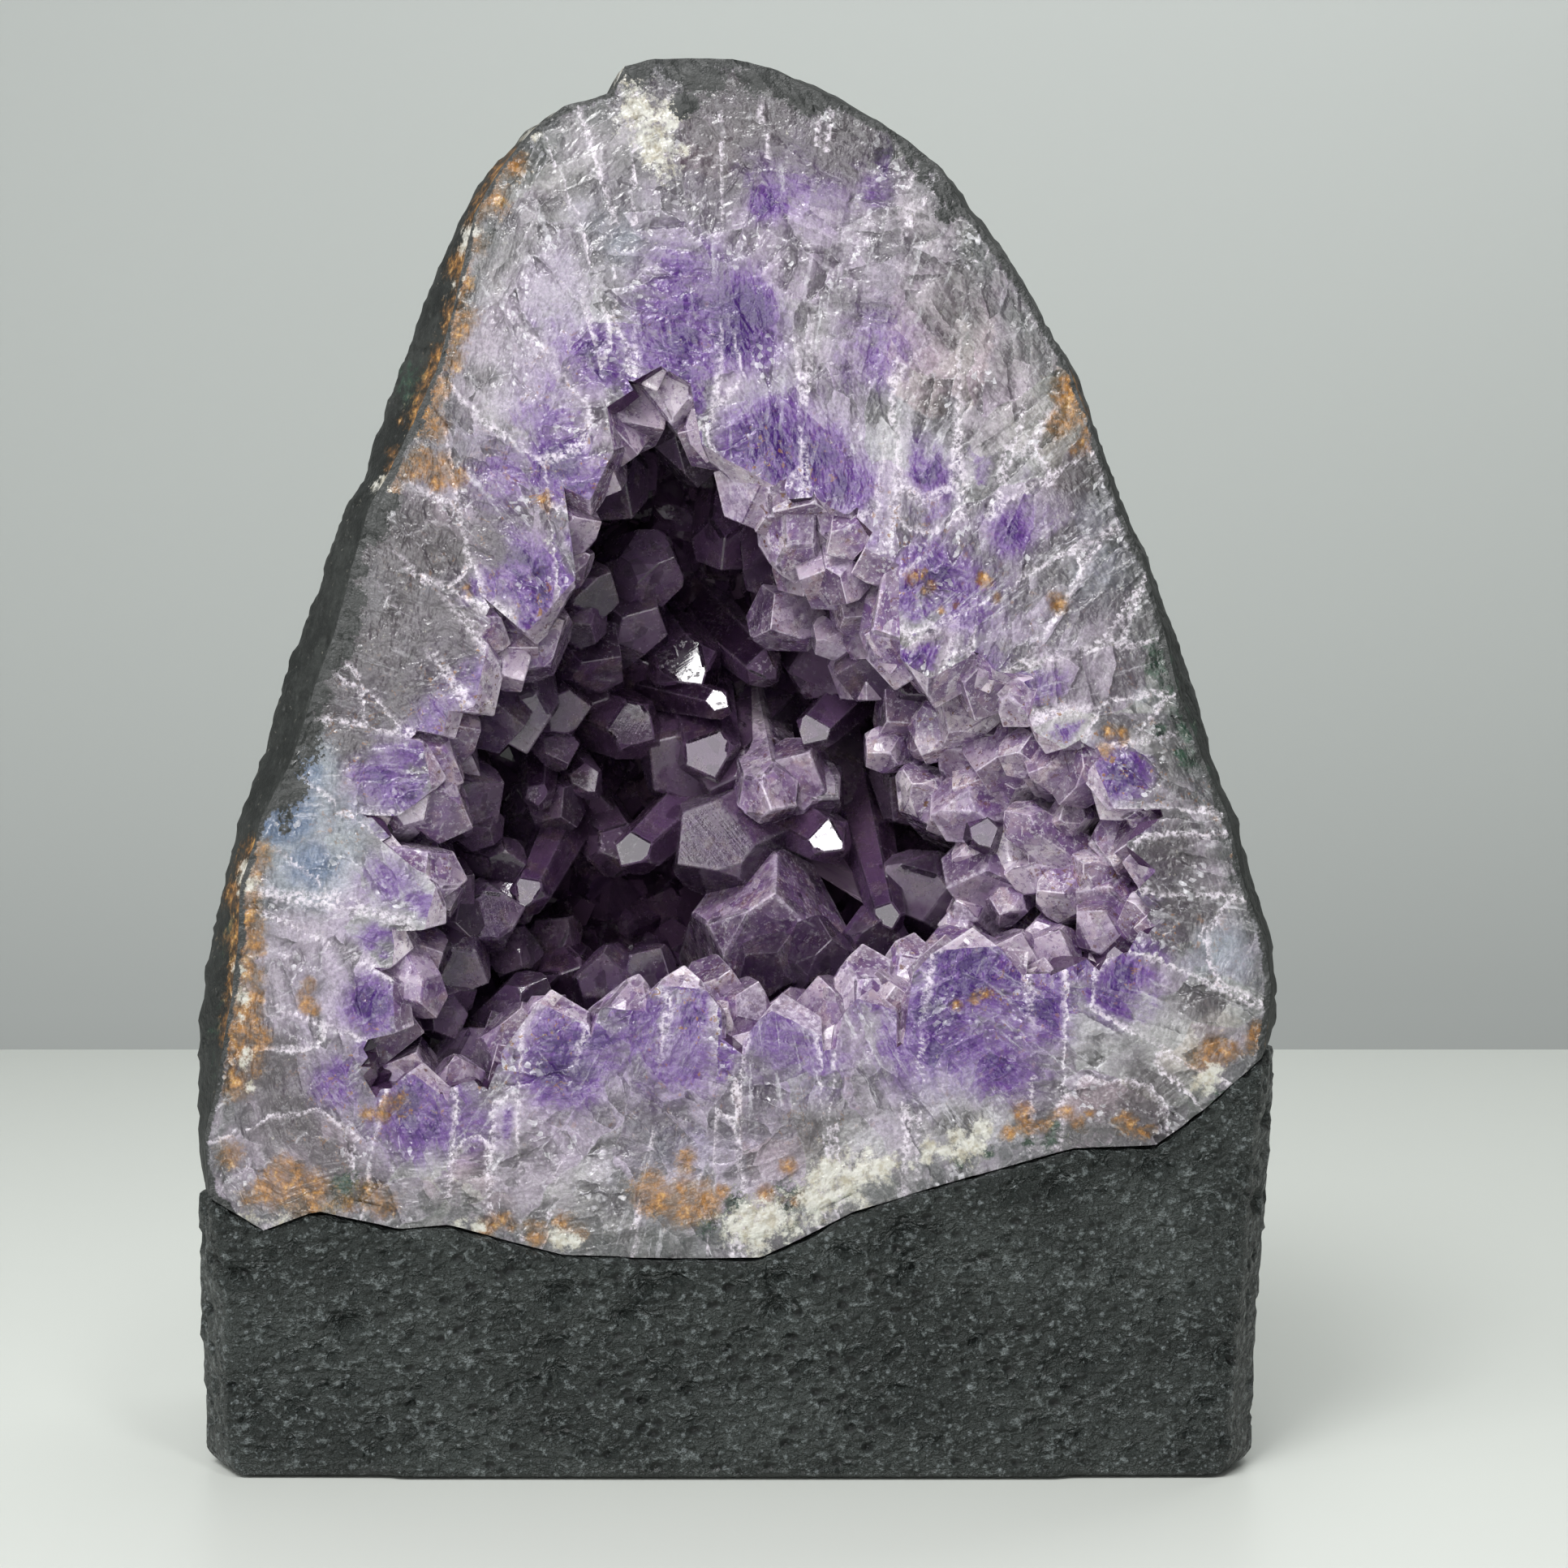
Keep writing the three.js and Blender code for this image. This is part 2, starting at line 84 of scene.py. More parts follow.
# Crystals that edge the opening: x, y, z of the point, aim across the face (0 right, 90 up), lean towards the
# viewer, half width, length
edgeCrystals = [
    (-21.9, 3, 144.6, -45, -6, 7.2, 24), (-7.9, 10, 145.7, -90, -12, 6.5, 20),
    (-2.5, 1.5, 150.5, -72, -5, 6.7, 22), (4.3, 3, 137.4, -82, -6, 8, 28),
    (14.6, 4.5, 133.5, -95, -8, 6.5, 20), (1.5, 8, 134.5, -125, -15, 5, 16),
    (7.8, 10, 125.8, -88, -12, 4.6, 20), (16.9, 9, 127.6, -85, -12, 5.5, 20),
    (26, 2.5, 137.3, -90, 5, 4.2, 12), (27.2, 5, 131.9, -80, -5, 5, 16),
    (20.3, 7, 120.7, -150, -5, 5, 18), (22, 7, 110.4, -105, -5, 6.3, 26),
    (27.7, 5, 107.8, -93, -3, 6.6, 28), (36.3, 4, 109.9, -170, 0, 3.8, 14),
    (37.4, 6, 105.3, -125, -5, 3.5, 14), (43.1, 2, 101.3, -110, -4, 4.6, 14),
    (48.3, 2.5, 97.9, -175, -4, 5, 14), (51, 5, 92, -130, -5, 4.5, 14),
    (54, 4, 86, 180, -5, 4.5, 12), (49.4, 3, 71.1, 155, -4, 5.5, 16),
    (32.9, 3, 77.1, 88, -5, 8.6, 28), (43.1, 4, 72.8, 85, -5, 3.8, 18),
    (17.5, 8, 74.5, 92, -8, 4.2, 24), (25, 10, 76, 80, -10, 3.2, 24),
    (6, 3.5, 67.7, 90, -6, 5.6, 20), (18.6, 2, 68.5, 85, -4, 4.2, 18),
    (-14.4, 5, 70.4, 80, -6, 5.6, 24), (-7.9, 3, 71.7, 85, -5, 6, 24),
    (-26.7, 3, 68.3, 92, -5, 6.4, 24), (-44.7, 2.5, 58, 80, -5, 6.4, 16),
    (-31.6, 1.5, 54, 92, -4, 3.6, 12), (-46, 3, 63, -25, -5, 5, 14),
    (-46, 3, 74, -10, -5, 4, 12), (-41.5, 3, 77.4, -35, -5, 4.6, 18),
    (-38.7, 6, 83.6, -5, -8, 4.3, 18), (-41.3, 2.5, 98, -5, -5, 6, 16),
    (-40.2, 2.5, 103.5, -50, -4, 5, 16), (-34.8, 4, 106.8, -45, -6, 6, 20),
    (-32.4, 4, 117, -20, -6, 4, 14), (-28.8, 3.5, 116.8, -80, -6, 6.8, 28),
    (-21.2, 4.5, 134.8, -75, -6, 6.3, 22),
]
# Crystals further in, in the same columns, and how pale each is
innerCrystals = [
    (4.9, 16, 81.3, 80, 65, 10.6, 40, 0.5), (-9.5, 20, 85.4, -155, 50, 7.6, 34, 0.25),
    (-14, 27, 103.4, 160, 60, 7, 30, 0.1), (-5, 26, 96.2, -130, 60, 5.4, 28, 0.1),
    (-8.1, 33, 112.7, -30, 55, 9.6, 26, 0), (17.5, 24, 111.2, -70, 55, 8, 32, 0.1),
    (4.4, 19, 93.3, -75, 66, 4.6, 20, 0.6), (10, 22, 101.9, 60, 60, 5.2, 32, 0.4),
    (14.5, 24, 95, -20, 55, 4.6, 30, 0.35), (-31.3, 16, 101.5, -75, 30, 5.6, 24, 0.3),
    (-37.5, 12, 97.9, -30, 20, 5.8, 18, 0.4), (-31.4, 15, 79.3, 15, 30, 4.8, 24, 0.2),
    (-36.5, 13, 68.3, -35, 25, 4.8, 18, 0.3), (-34.2, 13, 61.8, 45, 15, 5.2, 16, 0.2),
    (-27.5, 30, 95, 20, 55, 4.2, 22, 0.1), (-22.3, 34, 96.2, 60, 60, 4.2, 22, 0.1),
    (-17.6, 28, 85.6, -45, 62, 4.2, 26, 0.1), (28.4, 14, 102.7, 170, 35, 5.2, 26, 0.5),
    (27.3, 13, 92.7, -170, 30, 5, 26, 0.5), (29.7, 14, 82, -160, 35, 6, 28, 0.4),
    (47.5, 10, 81.6, 170, 25, 5, 16, 0.6), (40.6, 11, 97.9, -160, 35, 5.5, 20, 0.6),
    (49.7, 9, 88.6, 180, 20, 4.5, 14, 0.6), (-6.5, 22, 141, -80, 20, 5.5, 18, 0.1),
    (-16, 18, 136, -60, 20, 6, 18, 0.15), (-3.2, 26, 129, -100, 35, 5, 20, 0),
    (5.5, 20, 124, -90, 35, 5, 22, 0.1), (-22.4, 24, 124.4, -20, 30, 5, 18, 0.1),
    (18.6, 16, 123, -100, 20, 5, 20, 0.2), (-26.4, 30, 77.1, 60, 45, 4.2, 20, 0.1),
    (21, 22, 85, 150, 40, 5.5, 28, 0.2), (-12, 24, 66, 80, 45, 5.5, 20, 0),
    (8, 24, 68, 100, 45, 5.5, 22, 0.1), (-20, 27, 110, -20, 62, 6.5, 24, 0.05), (8, 30, 118, -90, 60, 6, 24, 0),
    (-24, 25, 70, 40, 60, 6.5, 24, 0), (-2, 30, 104, 60, 70, 5.5, 24, 0.1), (22, 27, 98, 170, 65, 6, 24, 0.2),
]
# Crystals of which one face mirrors the window: x, y, z of the point, which way that face lies from it, half
# width, how many degrees the face is off the window's middle
mirrorCrystals = [
    (-6, 27, 112, 125, 5.0, 1), (-2, 22, 108.6, 150, 2.2, 1), (-30, 20, 94, 100, 2.0, 1), (15, 20, 87.5, 140, 3.4, 2),
    (-13, 24, 104, 150, 4.4, 8), (-4, 24, 98, 110, 4.4, 7), (5, 28, 113, 135, 3.0, 9), (-13, 26, 122, 130, 3.0, 8),
    (-18, 22, 85, 60, 3.4, 5), (-32, 17, 79, 80, 3.2, 5), (22, 15, 76, 110, 2.4, 6), (16, 22, 121, 120, 2.6, 4),
    (27, 13, 110, 130, 3.2, 7), (-22, 26, 96, 130, 2.6, 5), (9, 22, 103, 60, 3.0, 6), (36, 10, 88, 120, 2.6, 5),
]
# Banks of crystals that slope into the hollow: the line that they start from, which way is inwards, rows, distance
# between crystals, depth of the first row, how fast the bank falls away, range of half widths, how pale they are
banks = [
    ([(51, 72), (52, 86), (46, 97), (37, 107)], 185, 4, 6.4, 4, 0.6, (2.6, 6.0), 0.95),
    ([(34, 109), (24, 116), (17, 124), (6, 131)], -120, 2, 6.6, 6, 0.9, (3.0, 6.2), 0.45),
    ([(-45, 60), (-43, 76), (-41, 92), (-36, 107), (-27, 121), (-19, 138)], -12, 2, 8.0, 7, 1.2, (3.2, 6.4), 0.2),
    ([(-36, 60), (-20, 68), (5, 69), (28, 76)], 92, 1, 8.0, 8, 1.4, (3.0, 5.6), 0.2),
]
# Grains of the wall that the saw cut: x, z of the end nearest to the hollow, aim, half width, length, then how
# purple (0 to 1), how light (0 to 1) and how warm (-1 blue, 1 brown)
cutGrains = [
    (11, 150.5, -92, 9.2, 34, 0.05, 0.72, 0.1), (-7, 151, -88, 9.6, 25, 0.95, 0.45, 0), (-21, 154, -70, 7, 26, 0.4, 0.7, -0.2),
    (-25, 166, -65, 9, 26, 0.05, 0.85, 0.1), (27, 148, -100, 8, 24, 0, 0.75, 0.6), (26, 172, -110, 6, 14, 0, 1, 0.1),
    (4.3, 177.5, -95, 4, 9, 1, 0.4, 0), (-3.7, 182, -90, 5, 10, 0.15, 0.5, 0.7), (12.3, 182.3, -85, 5.5, 11, 0.35, 0.7, -0.4),
    (-4.8, 192.6, -90, 4.5, 9, 0, 0.4, -0.2), (2, 193.7, -80, 4, 8, 0, 0.3, 0), (19, 181, -70, 4, 10, 0.6, 0.4, 0),
    (33, 143.6, -120, 8, 24, 0.05, 0.6, 0.2), (37.4, 166.4, -115, 7, 20, 0, 0.65, -0.2), (44, 139, -130, 7, 18, 0, 0.55, 0.5),
    (47.6, 127.6, -150, 9, 20, 0, 0.65, -0.8), (37.4, 133.3, -130, 6, 14, 0.4, 0.75, 0), (30.5, 139, -110, 5, 12, 0.5, 0.5, 0.1),
    (58, 100, 180, 9, 18, 0, 0.35, -0.3), (60, 116, -165, 7, 12, 0, 0.5, -0.2), (64.7, 76.3, 165, 9, 14, 0, 0.6, -0.7),
    (54, 70, 150, 5, 12, 0.8, 0.5, 0), (60, 64, 140, 6, 12, 0, 0.8, 0.5), (48, 56, 110, 9, 14, 0, 0.9, 0.6),
    (38.5, 52, 95, 8, 12, 0, 0.95, -0.3), (21, 52, 95, 8, 14, 0.1, 0.8, -0.2), (2, 58, 110, 5, 18, 0, 0.55, 0.9),
    (-24, 51, 70, 8, 14, 0, 0.9, 0), (-36.7, 47.8, 85, 9, 14, 0, 0.55, 0.6), (-8, 54.6, 85, 9, 16, 0.25, 0.6, -0.5),
    (-56, 67, 0, 7, 12, 0.1, 0.65, -0.2), (-62, 73, -10, 6, 12, 0, 0.7, -0.2), (-53.8, 93.4, -5, 9, 22, 0, 0.65, -0.2),
    (-52, 105, -15, 6, 14, 0.3, 0.75, 0), (-36.7, 128.7, -20, 8, 22, 0, 0.3, 0.3), (-40, 116, -20, 6, 20, 0.2, 0.3, 0.5),
    (-34.5, 139, -35, 8, 20, 0, 0.6, -0.4), (-26.5, 156, -50, 9, 22, 0, 0.7, -0.2), (-50.4, 123, -15, 7, 16, 0, 0.4, 0.2),
    (-53.8, 47.8, 20, 8, 16, 0, 0.7, 0.4), (-30, 43, 90, 10, 9, 0, 0.45, 0.3),
]

# Where the sawn face differs in colour: x, z, radius, strength
toneSpots = {
    "purple": [
        (-1, 162, 7, 1), (-8, 168, 7, 0.6), (-9, 159, 8, 0.8), (-20, 157, 5, 0.7), (-25, 142, 5, 0.9),
        (-33, 141, 6, 0.4), (5, 145, 7, 1), (10, 143, 6, 0.8), (15, 139, 5, 0.8), (28, 140, 4, 0.5),
        (19, 158, 7, 0.4), (4, 179, 3, 0.8), (10, 181, 7, 0.35), (19, 181, 3, 0.5), (3, 185, 4, 0.5),
        (-31, 127, 6, 0.7), (-39, 125, 3, 0.6), (-40, 112, 7, 0.5), (-44, 107, 5, 0.6), (-53, 108, 6, 0.4),
        (-50, 97, 6, 0.6), (-49, 84, 5, 0.5), (-52, 66, 4, 0.9), (-52, 60, 3, 0.5), (-57, 55, 4, 0.6),
        (-45, 51, 7, 0.7), (-38, 49, 5, 0.5), (-25, 58, 6, 1), (-20, 60, 5, 0.7), (-13, 64, 7, 0.6),
        (-9, 59, 7, 0.5), (5, 63, 8, 0.5), (10, 59, 7, 0.4), (33, 71, 9, 0.9), (28, 63, 9, 0.8),
        (42, 65, 5, 0.8), (37, 59, 7, 0.6), (43, 71, 4, 0.6), (53, 69, 5, 0.8), (52, 98, 5, 0.6),
        (38, 133, 4, 0.7), (27, 127, 6, 0.6), (32, 123, 6, 0.5),
    ],
    "blue": [
        (-64, 93, 7, 1), (-62, 99, 6, 0.8), (-61, 86, 7, 0.8), (-56, 91, 7, 0.5), (-19, 174, 8, 0.25), (48, 128, 7, 0.3), (67, 73, 6, 0.4),
        (60, 108, 6, 0.2), (30, 52, 9, 0.2), (-12, 41, 9, 0.25), (-50, 122, 7, 0.2),
    ],
    "dark": [
        (-52, 129, 6, 1), (-54, 122, 6.5, 1), (-57, 114, 6, 1), (-59, 107, 5, 1), (-62, 100, 4, 0.9),
        (-50, 135, 5, 0.8), (58, 87, 7, 0.5), (49, 145, 7, 0.6),
        (-6, 198, 5, 0.8), (5, 196, 6, 0.8), (16, 191, 4, 0.6), (-55, 137, 4, 0.5), (63, 98, 5, 0.5),
        (-60, 112, 6, 0.5), (40, 172, 4, 0.5), (-20, 133, 3, 0.3),
    ],
    "smoke": [
        (-50, 125, 9, 1.3), (-44, 118, 8, 1.1), (-52, 113, 8, 1.3), (-42, 128, 6, 0.9), (-36, 131, 5, 0.6),
        (-57, 105, 6, 0.9), (58, 86, 8, 0.7), (62, 79, 7, 0.6), (-62, 70, 5, 0.4), (-67, 58, 6, 0.8),
        (-64, 50, 6, 0.8), (-58, 45, 6, 0.5), (0, 190, 10, 0.7), (14, 187, 8, 0.6), (30, 168, 5, 0.4),
        (47, 140, 6, 0.5), (10, 48, 6, 0.5), (58, 52, 7, 0.6), (65, 66, 5, 0.6), (-30, 44, 6, 0.4),
    ],
}
# Stains follow trails at the edge of the quartz: points x, z, then width, number of spots, their largest radius
stainTrails = {
    "rust": [
        ([(-33, 186), (-36.5, 178), (-38.5, 169), (-40.5, 160)], 1.1, 28, 2.3),
        ([(-41, 160), (-44, 152), (-46, 146)], 1.6, 16, 2.4),
        ([(-51, 138), (-47, 142.5), (-43, 142), (-41, 140)], 1.0, 18, 2.0),
        ([(45, 153), (46.5, 149), (47, 146)], 1.4, 12, 2.4),
        ([(-69.6, 88), (-69.8, 74), (-70, 64), (-70.6, 57)], 1.0, 70, 2.8),
        ([(-72, 42), (-66, 40), (-60, 41), (-52, 39.5)], 1.8, 22, 2.6),
        ([(-37, 35.5), (-30, 34.5), (-22, 33.5)], 1.0, 14, 1.8),
        ([(-14, 36.5), (-8, 40), (-4, 41)], 1.6, 16, 2.8),
        ([(5, 42), (8, 38.5)], 1.2, 5, 1.8), ([(38, 50), (43, 49.5), (50, 50.5)], 1.0, 12, 1.7),
        ([(52, 48.5), (58, 49)], 0.8, 8, 1.4), ([(64, 57), (68, 60), (72, 62.5)], 1.0, 14, 2.2),
        ([(-52, 50), (-49, 52)], 1.0, 4, 2.2), ([(-28, 137.5), (-27, 135)], 0.4, 3, 1.2),
        ([(-38.5, 125), (-37.5, 122)], 0.4, 3, 1.1), ([(25, 129), (26, 124), (29, 121)], 0.8, 7, 1.2),
        ([(33, 127), (36, 122)], 0.8, 5, 1.1), ([(44, 124), (47, 122)], 0.8, 4, 1.4),
        ([(52, 106), (54, 101)], 0.8, 5, 1.2), ([(-61, 69), (-60, 64)], 0.6, 4, 1.4), ([(30, 66), (36, 69)], 0.6, 4, 1.0),
    ],
    "green": [
        ([(-47, 156), (-46, 149)], 1.6, 10, 2.4), ([(-72, 79), (-73.5, 66), (-74, 54)], 0.8, 10, 1.8),
        ([(-4, 36.5), (2, 36), (8, 37)], 1.2, 14, 2.6), ([(7, 38), (10, 39)], 1.0, 6, 2.0),
        ([(58, 115), (63, 106), (66, 98)], 1.6, 12, 2.2), ([(-58, 40), (-54, 38.5)], 1.2, 6, 2.4),
        ([(67, 48), (70, 52)], 1.2, 5, 2.0), ([(30, 43.5), (44, 48)], 0.8, 8, 1.4),
    ],
    "paint": [
        ([(-56, 121), (-58.5, 113), (-61.5, 103), (-65, 93)], 1.0, 60, 3.2),
        ([(-49.5, 137), (-53, 129), (-56, 121)], 0.8, 26, 2.4), ([(-72, 84), (-74.5, 72), (-75.5, 60)], 0.5, 30, 1.8),
        ([(-15, 199), (-8, 197), (0, 198), (8, 196), (16, 192)], 1.6, 46, 3.4),
        ([(20, 190), (26, 184), (31, 177)], 0.6, 24, 2.0), ([(-46, 157), (-47, 150), (-50, 144)], 1.0, 26, 3.0),
    ],
    "chalk": [
        ([(-51.5, 140), (-50, 138)], 0.6, 4, 1.5), ([(-38, 176), (-40, 165)], 0.8, 8, 1.2),
        ([(-69.5, 88), (-70.3, 62)], 0.6, 12, 1.5), ([(-62, 131), (-61.5, 127)], 0.4, 3, 1.0),
        ([(-71, 37), (-64, 36.5)], 0.8, 6, 1.8), ([(-1, 34.5), (5, 35.5), (12, 39), (16, 41.5)], 1.8, 30, 3.0),
        ([(16, 41.5), (24, 44.5), (34, 47.5)], 1.0, 22, 2.2), ([(63, 54), (68, 57.5)], 0.8, 9, 1.8),
        ([(-17, 194), (-12, 188), (-10, 184)], 2.0, 14, 3.2), ([(-30, 189), (-26, 190)], 0.6, 5, 1.3),
        ([(-70, 60), (-69, 55)], 0.6, 4, 1.3), ([(-27, 33.5), (-22, 32.5)], 0.5, 5, 1.5),
        ([(-40, 35), (-36, 34)], 0.5, 4, 1.3), ([(-27, 131), (-28, 128)], 0.3, 2, 0.8),
    ],
}


def trailSpots(trails, seed):
    rng = random.Random(seed)
    spots = []
    for line, width, count, largest in trails:
        for _ in range(count):
            share = rng.random() * (len(line) - 1)
            k = min(int(share), len(line) - 2)
            share -= k
            x = line[k][0] + (line[k + 1][0] - line[k][0]) * share + rng.gauss(0, width)
            z = line[k][1] + (line[k + 1][1] - line[k][1]) * share + rng.gauss(0, width)
            spots.append((x, z, largest * rng.uniform(0.3, 1), rng.uniform(0.6, 1.1)))
    return spots


stainSpots = {name: trailSpots(trails, 11 + len(name)) for name, trails in stainTrails.items()}


# Measuring the frame

def treeOf(name):
    return BVHTree.FromPolygons(
        [v.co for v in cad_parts[name].data.vertices],
        [p.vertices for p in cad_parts[name].data.polygons],
    )


def castRays(tree, backAngle, last):
    # distance from the heart to the first or last surface met, for each direction round the face
    reach = []
    for angle in angles:
        flat = math.cos(backAngle)
        ray = Vector((math.cos(angle) * flat, math.sin(backAngle), math.sin(angle) * flat))
        start, total, found = heart.copy(), 0.0, None
        while True:
            hit, _, _, distance = tree.ray_cast(start, ray)
            if hit is None:
                break
            total += distance
            found = total
            if not last:
                break
            total += 1e-5
            start = hit + ray * 1e-5
        reach.append(found if found is not None else reach[-1])
    return np.array(reach)


def smoothRound(values, width):
    # a soft average along the ring, which closes on itself
    steps = np.arange(-3 * width, 3 * width + 1)
    weights = np.exp(-0.5 * (steps / width) ** 2)
    weights /= weights.sum()
    return sum(w * np.roll(values, s) for w, s in zip(weights, steps))


def radiusRound(outline):
    # a given outline's distance from the heart, for each direction round the face
    x = np.array([p[0] for p in outline], float)
    z = np.array([p[1] for p in outline], float) - geode["heartHeight"]
    turn = np.mod(np.arctan2(z, x), 2 * math.pi)
    order = np.argsort(turn)
    turn, reach = turn[order], np.hypot(x, z)[order]
    return np.interp(angles, turn, reach, period=2 * math.pi) * mm


def ringPoints(radius, backAngle):
    flat = np.cos(backAngle)
    return np.column_stack([
        heart.x + radius * np.cos(angles) * flat,
        heart.y + radius * np.sin(backAngle),
        heart.z + radius * np.sin(angles) * flat,
    ])


def facePoints(radius, y=0.0):
    points = ringPoints(radius, 0.0)
    points[:, 1] = faceY + y * mm
    return points


# Meshes

def meshFromRings(name, rings, startPole, endPole):
    # a closed skin through rings of equal length, with a point at each end
    count = len(rings[0])
    points = np.vstack([np.vstack(rings), startPole, endPole])
    first, last = len(points) - 2, len(points) - 1
    faces = []
    for i in range(count):
        j = (i + 1) % count
        faces.append((first, j, i))
        base = (len(rings) - 1) * count
        faces.append((last, base + i, base + j))
    for k in range(len(rings) - 1):
        low, high = k * count, (k + 1) * count
        faces += [(low + i, low + (i + 1) % count, high + (i + 1) % count, high + i) for i in range(count)]
    mesh = bpy.data.meshes.new(name)
    mesh.from_pydata(points.tolist(), [], faces)
    outward(mesh)
    return mesh


def outward(mesh):
    work = bmesh.new()
    work.from_mesh(mesh)
    bmesh.ops.recalc_face_normals(work, faces=work.faces)
    work.to_mesh(mesh)
    work.free()


def newPiece(name, mesh):
    piece = bpy.data.objects.new(name, mesh)
    bpy.context.scene.collection.objects.link(piece)
    return piece


def meshPoints(mesh):
    points = np.empty(len(mesh.vertices) * 3)
    mesh.vertices.foreach_get("co", points)
    return points.reshape(-1, 3)


def setPoints(mesh, points):
    mesh.vertices.foreach_set("co", points.ravel())
    mesh.update()


def evaluatedMesh(piece):
    graph = bpy.context.evaluated_depsgraph_get()
    graph.update()
    return bpy.data.meshes.new_from_object(piece.evaluated_get(graph), depsgraph=graph)


def applyModifiers(piece):
    made = evaluatedMesh(piece)
    piece.modifiers.clear()
    piece.data = made


print("measuring the frame")
wallTree = treeOf("quartz_wall")
rindTree = treeOf("basalt_rind")
backSteps = np.radians(np.array([0, 2, 4, 7, 10, 14, 18, 23, 28, 34, 40, 46, 52, 58, 64, 70, 76, 82]))
wallInside = [castRays(wallTree, b, False) for b in backSteps]
wallOutside = [castRays(wallTree, b, True) for b in backSteps]
rindOutside = castRays(rindTree, 0.0, True)
rindInside = castRays(rindTree, 0.0, False)


# What the sawn face knows about each of its points: how far it is from the opening, its tones and its stains

openingRadius = smoothRound(radiusRound(openingEdge), 2)


def spotField(spots, x, z):
    field = np.zeros(len(x))
    for spotX, spotZ, radius, strength in spots:
        field = np.maximum(field, strength * np.exp(-((x - spotX) ** 2 + (z - spotZ) ** 2) / radius ** 2))
    return field


def cutOutline(x, z, row, ragged):
    # how far inside a cut crystal's outline each point lies, and how far behind its tip
    tipX, tipZ, aim, half, length = row
    aim = math.radians(aim)
    back = -(x - tipX) * math.cos(aim) - (z - tipZ) * math.sin(aim)
    across = np.abs(-(x - tipX) * math.sin(aim) + (z - tipZ) * math.cos(aim))
    side = -(x - tipX) * math.sin(aim) + (z - tipZ) * math.cos(aim)
    across = np.where(side > 0, across * (1.25 if half > 6 else 0.9), across * 0.95)
    inside = np.minimum(half * (0.82 + 0.18 * np.clip(back / length * 2, 0, 1)) - across, (back - 0.5 * across) * 0.87)
    return inside + ragged, back


def cutField(x, z):
    # the crystal that each point of the face belongs to: distance in from its outline, distance behind its tip,
    # its number, then its purple, lightness and warmth
    rng = random.Random(5)
    ragged = np.array([0.9 * noise.noise(Vector((a, b, 0)) * 0.28) for a, b in zip(x, z)])
    field = np.tile([-3.0, 0.0, 0.0, 0.0, 0.5, 0.0], (len(x), 1))
    rows = [(row[:5], row[5:], 1.0) for row in reversed(cutGrains)]
    for tipX, _, tipZ, aim, _, half, length in reversed(edgeCrystals):
        tones = (rng.uniform(0.45, 1), rng.uniform(0.45, 0.85), rng.uniform(-0.3, 0.3))
        rows.append(((tipX, tipZ, aim, half * 0.95, length), tones, 0.25))
    for row, tones, share in rows:
        inside, back = cutOutline(x, z, row, ragged * share)
        under = (inside < 0) & (field[:, 0] > 0)
        field[under, 0] = np.minimum(field[under, 0], -inside[under])
        here = (inside > 0) & (back < row[4] + 4 * ragged)
        fade = np.clip(1.6 - 1.6 * back / row[4], 0, 1)[here]
        number = rng.random()
        field[here, 0], field[here, 1], field[here, 2] = inside[here], back[here], number
        field[here, 3], field[here, 5] = tones[0] * fade, tones[2] * fade
        field[here, 4] = 0.55 + (tones[1] - 0.55) * fade
        close = ~here & (inside > field[:, 0])
        field[close, 0] = inside[close]
    return field


def faceMask(mesh):
    return meshPoints(mesh)[:, 1] < faceY + 0.05 * mm


def wearFace(mesh):
    # low swells in the sawn face, alike on all pieces
    points = meshPoints(mesh)
    for k in np.where(faceMask(mesh))[0]:
        spot = Vector((points[k, 0], 0, points[k, 2])) / mm
        swell = noise.fractal(spot * 0.11, 0.9, 2.0, 4) + 0.35 * noise.fractal(spot * 0.7, 0.7, 2.0, 3)
        depth = (0.5 + swell) * geode["relief"]
        points[k, 1] += max(0.0, depth) * mm
    setPoints(mesh, points)


def addFaceAttributes(mesh):
    points = meshPoints(mesh)
    x = (points[:, 0] - midX) / mm
    y = (points[:, 1] - faceY) / mm
    z = points[:, 2] / mm
    turn = np.mod(np.arctan2(z - geode["heartHeight"], x), 2 * math.pi)
    reach = np.hypot(x, z - geode["heartHeight"])
    opening = np.interp(turn, angles, openingRadius / mm, period=2 * math.pi)
    edge = np.interp(turn, angles, wallOutside[0] / mm, period=2 * math.pi)
    brim = np.interp(turn, angles, rindOutside / mm, period=2 * math.pi)
    cut = cutField(x, z)
    shallow = np.exp(-(y / 14) ** 2)
    inCement = np.clip((60 + 6 * (x > 60) - z) / 6, 0, 1) * np.clip((72 - np.abs(x)) / 3, 0, 1)
    fields = {
        "growth": (60 * np.cos(turn), 60 * np.sin(turn), reach - opening),
        "tone": [spotField(toneSpots[tone], x, z) for tone in ("purple", "blue", "dark")],
        "stain": [spotField(stainSpots[stain], x, z) * shallow for stain in ("rust", "green", "chalk")],
        "sawn": (faceMask(mesh).astype(float), y, edge - reach),
        "cut": cut[:, :3].T,
        "cutTone": cut[:, 3:].T,
        "brim": (brim - reach + 3 * inCement, spotField(stainSpots["paint"], x, z), spotField(toneSpots["smoke"], x, z)),
    }
    corner = np.empty(len(mesh.loops), int)
    mesh.loops.foreach_get("vertex_index", corner)
    for name, parts in fields.items():
        attribute = mesh.attributes.new(name, "FLOAT_VECTOR", "CORNER")
        values = np.column_stack(list(parts))[corner]
        attribute.data.foreach_set("vector", values.ravel().astype(np.float32))
    wearFace(mesh)


# Node helpers

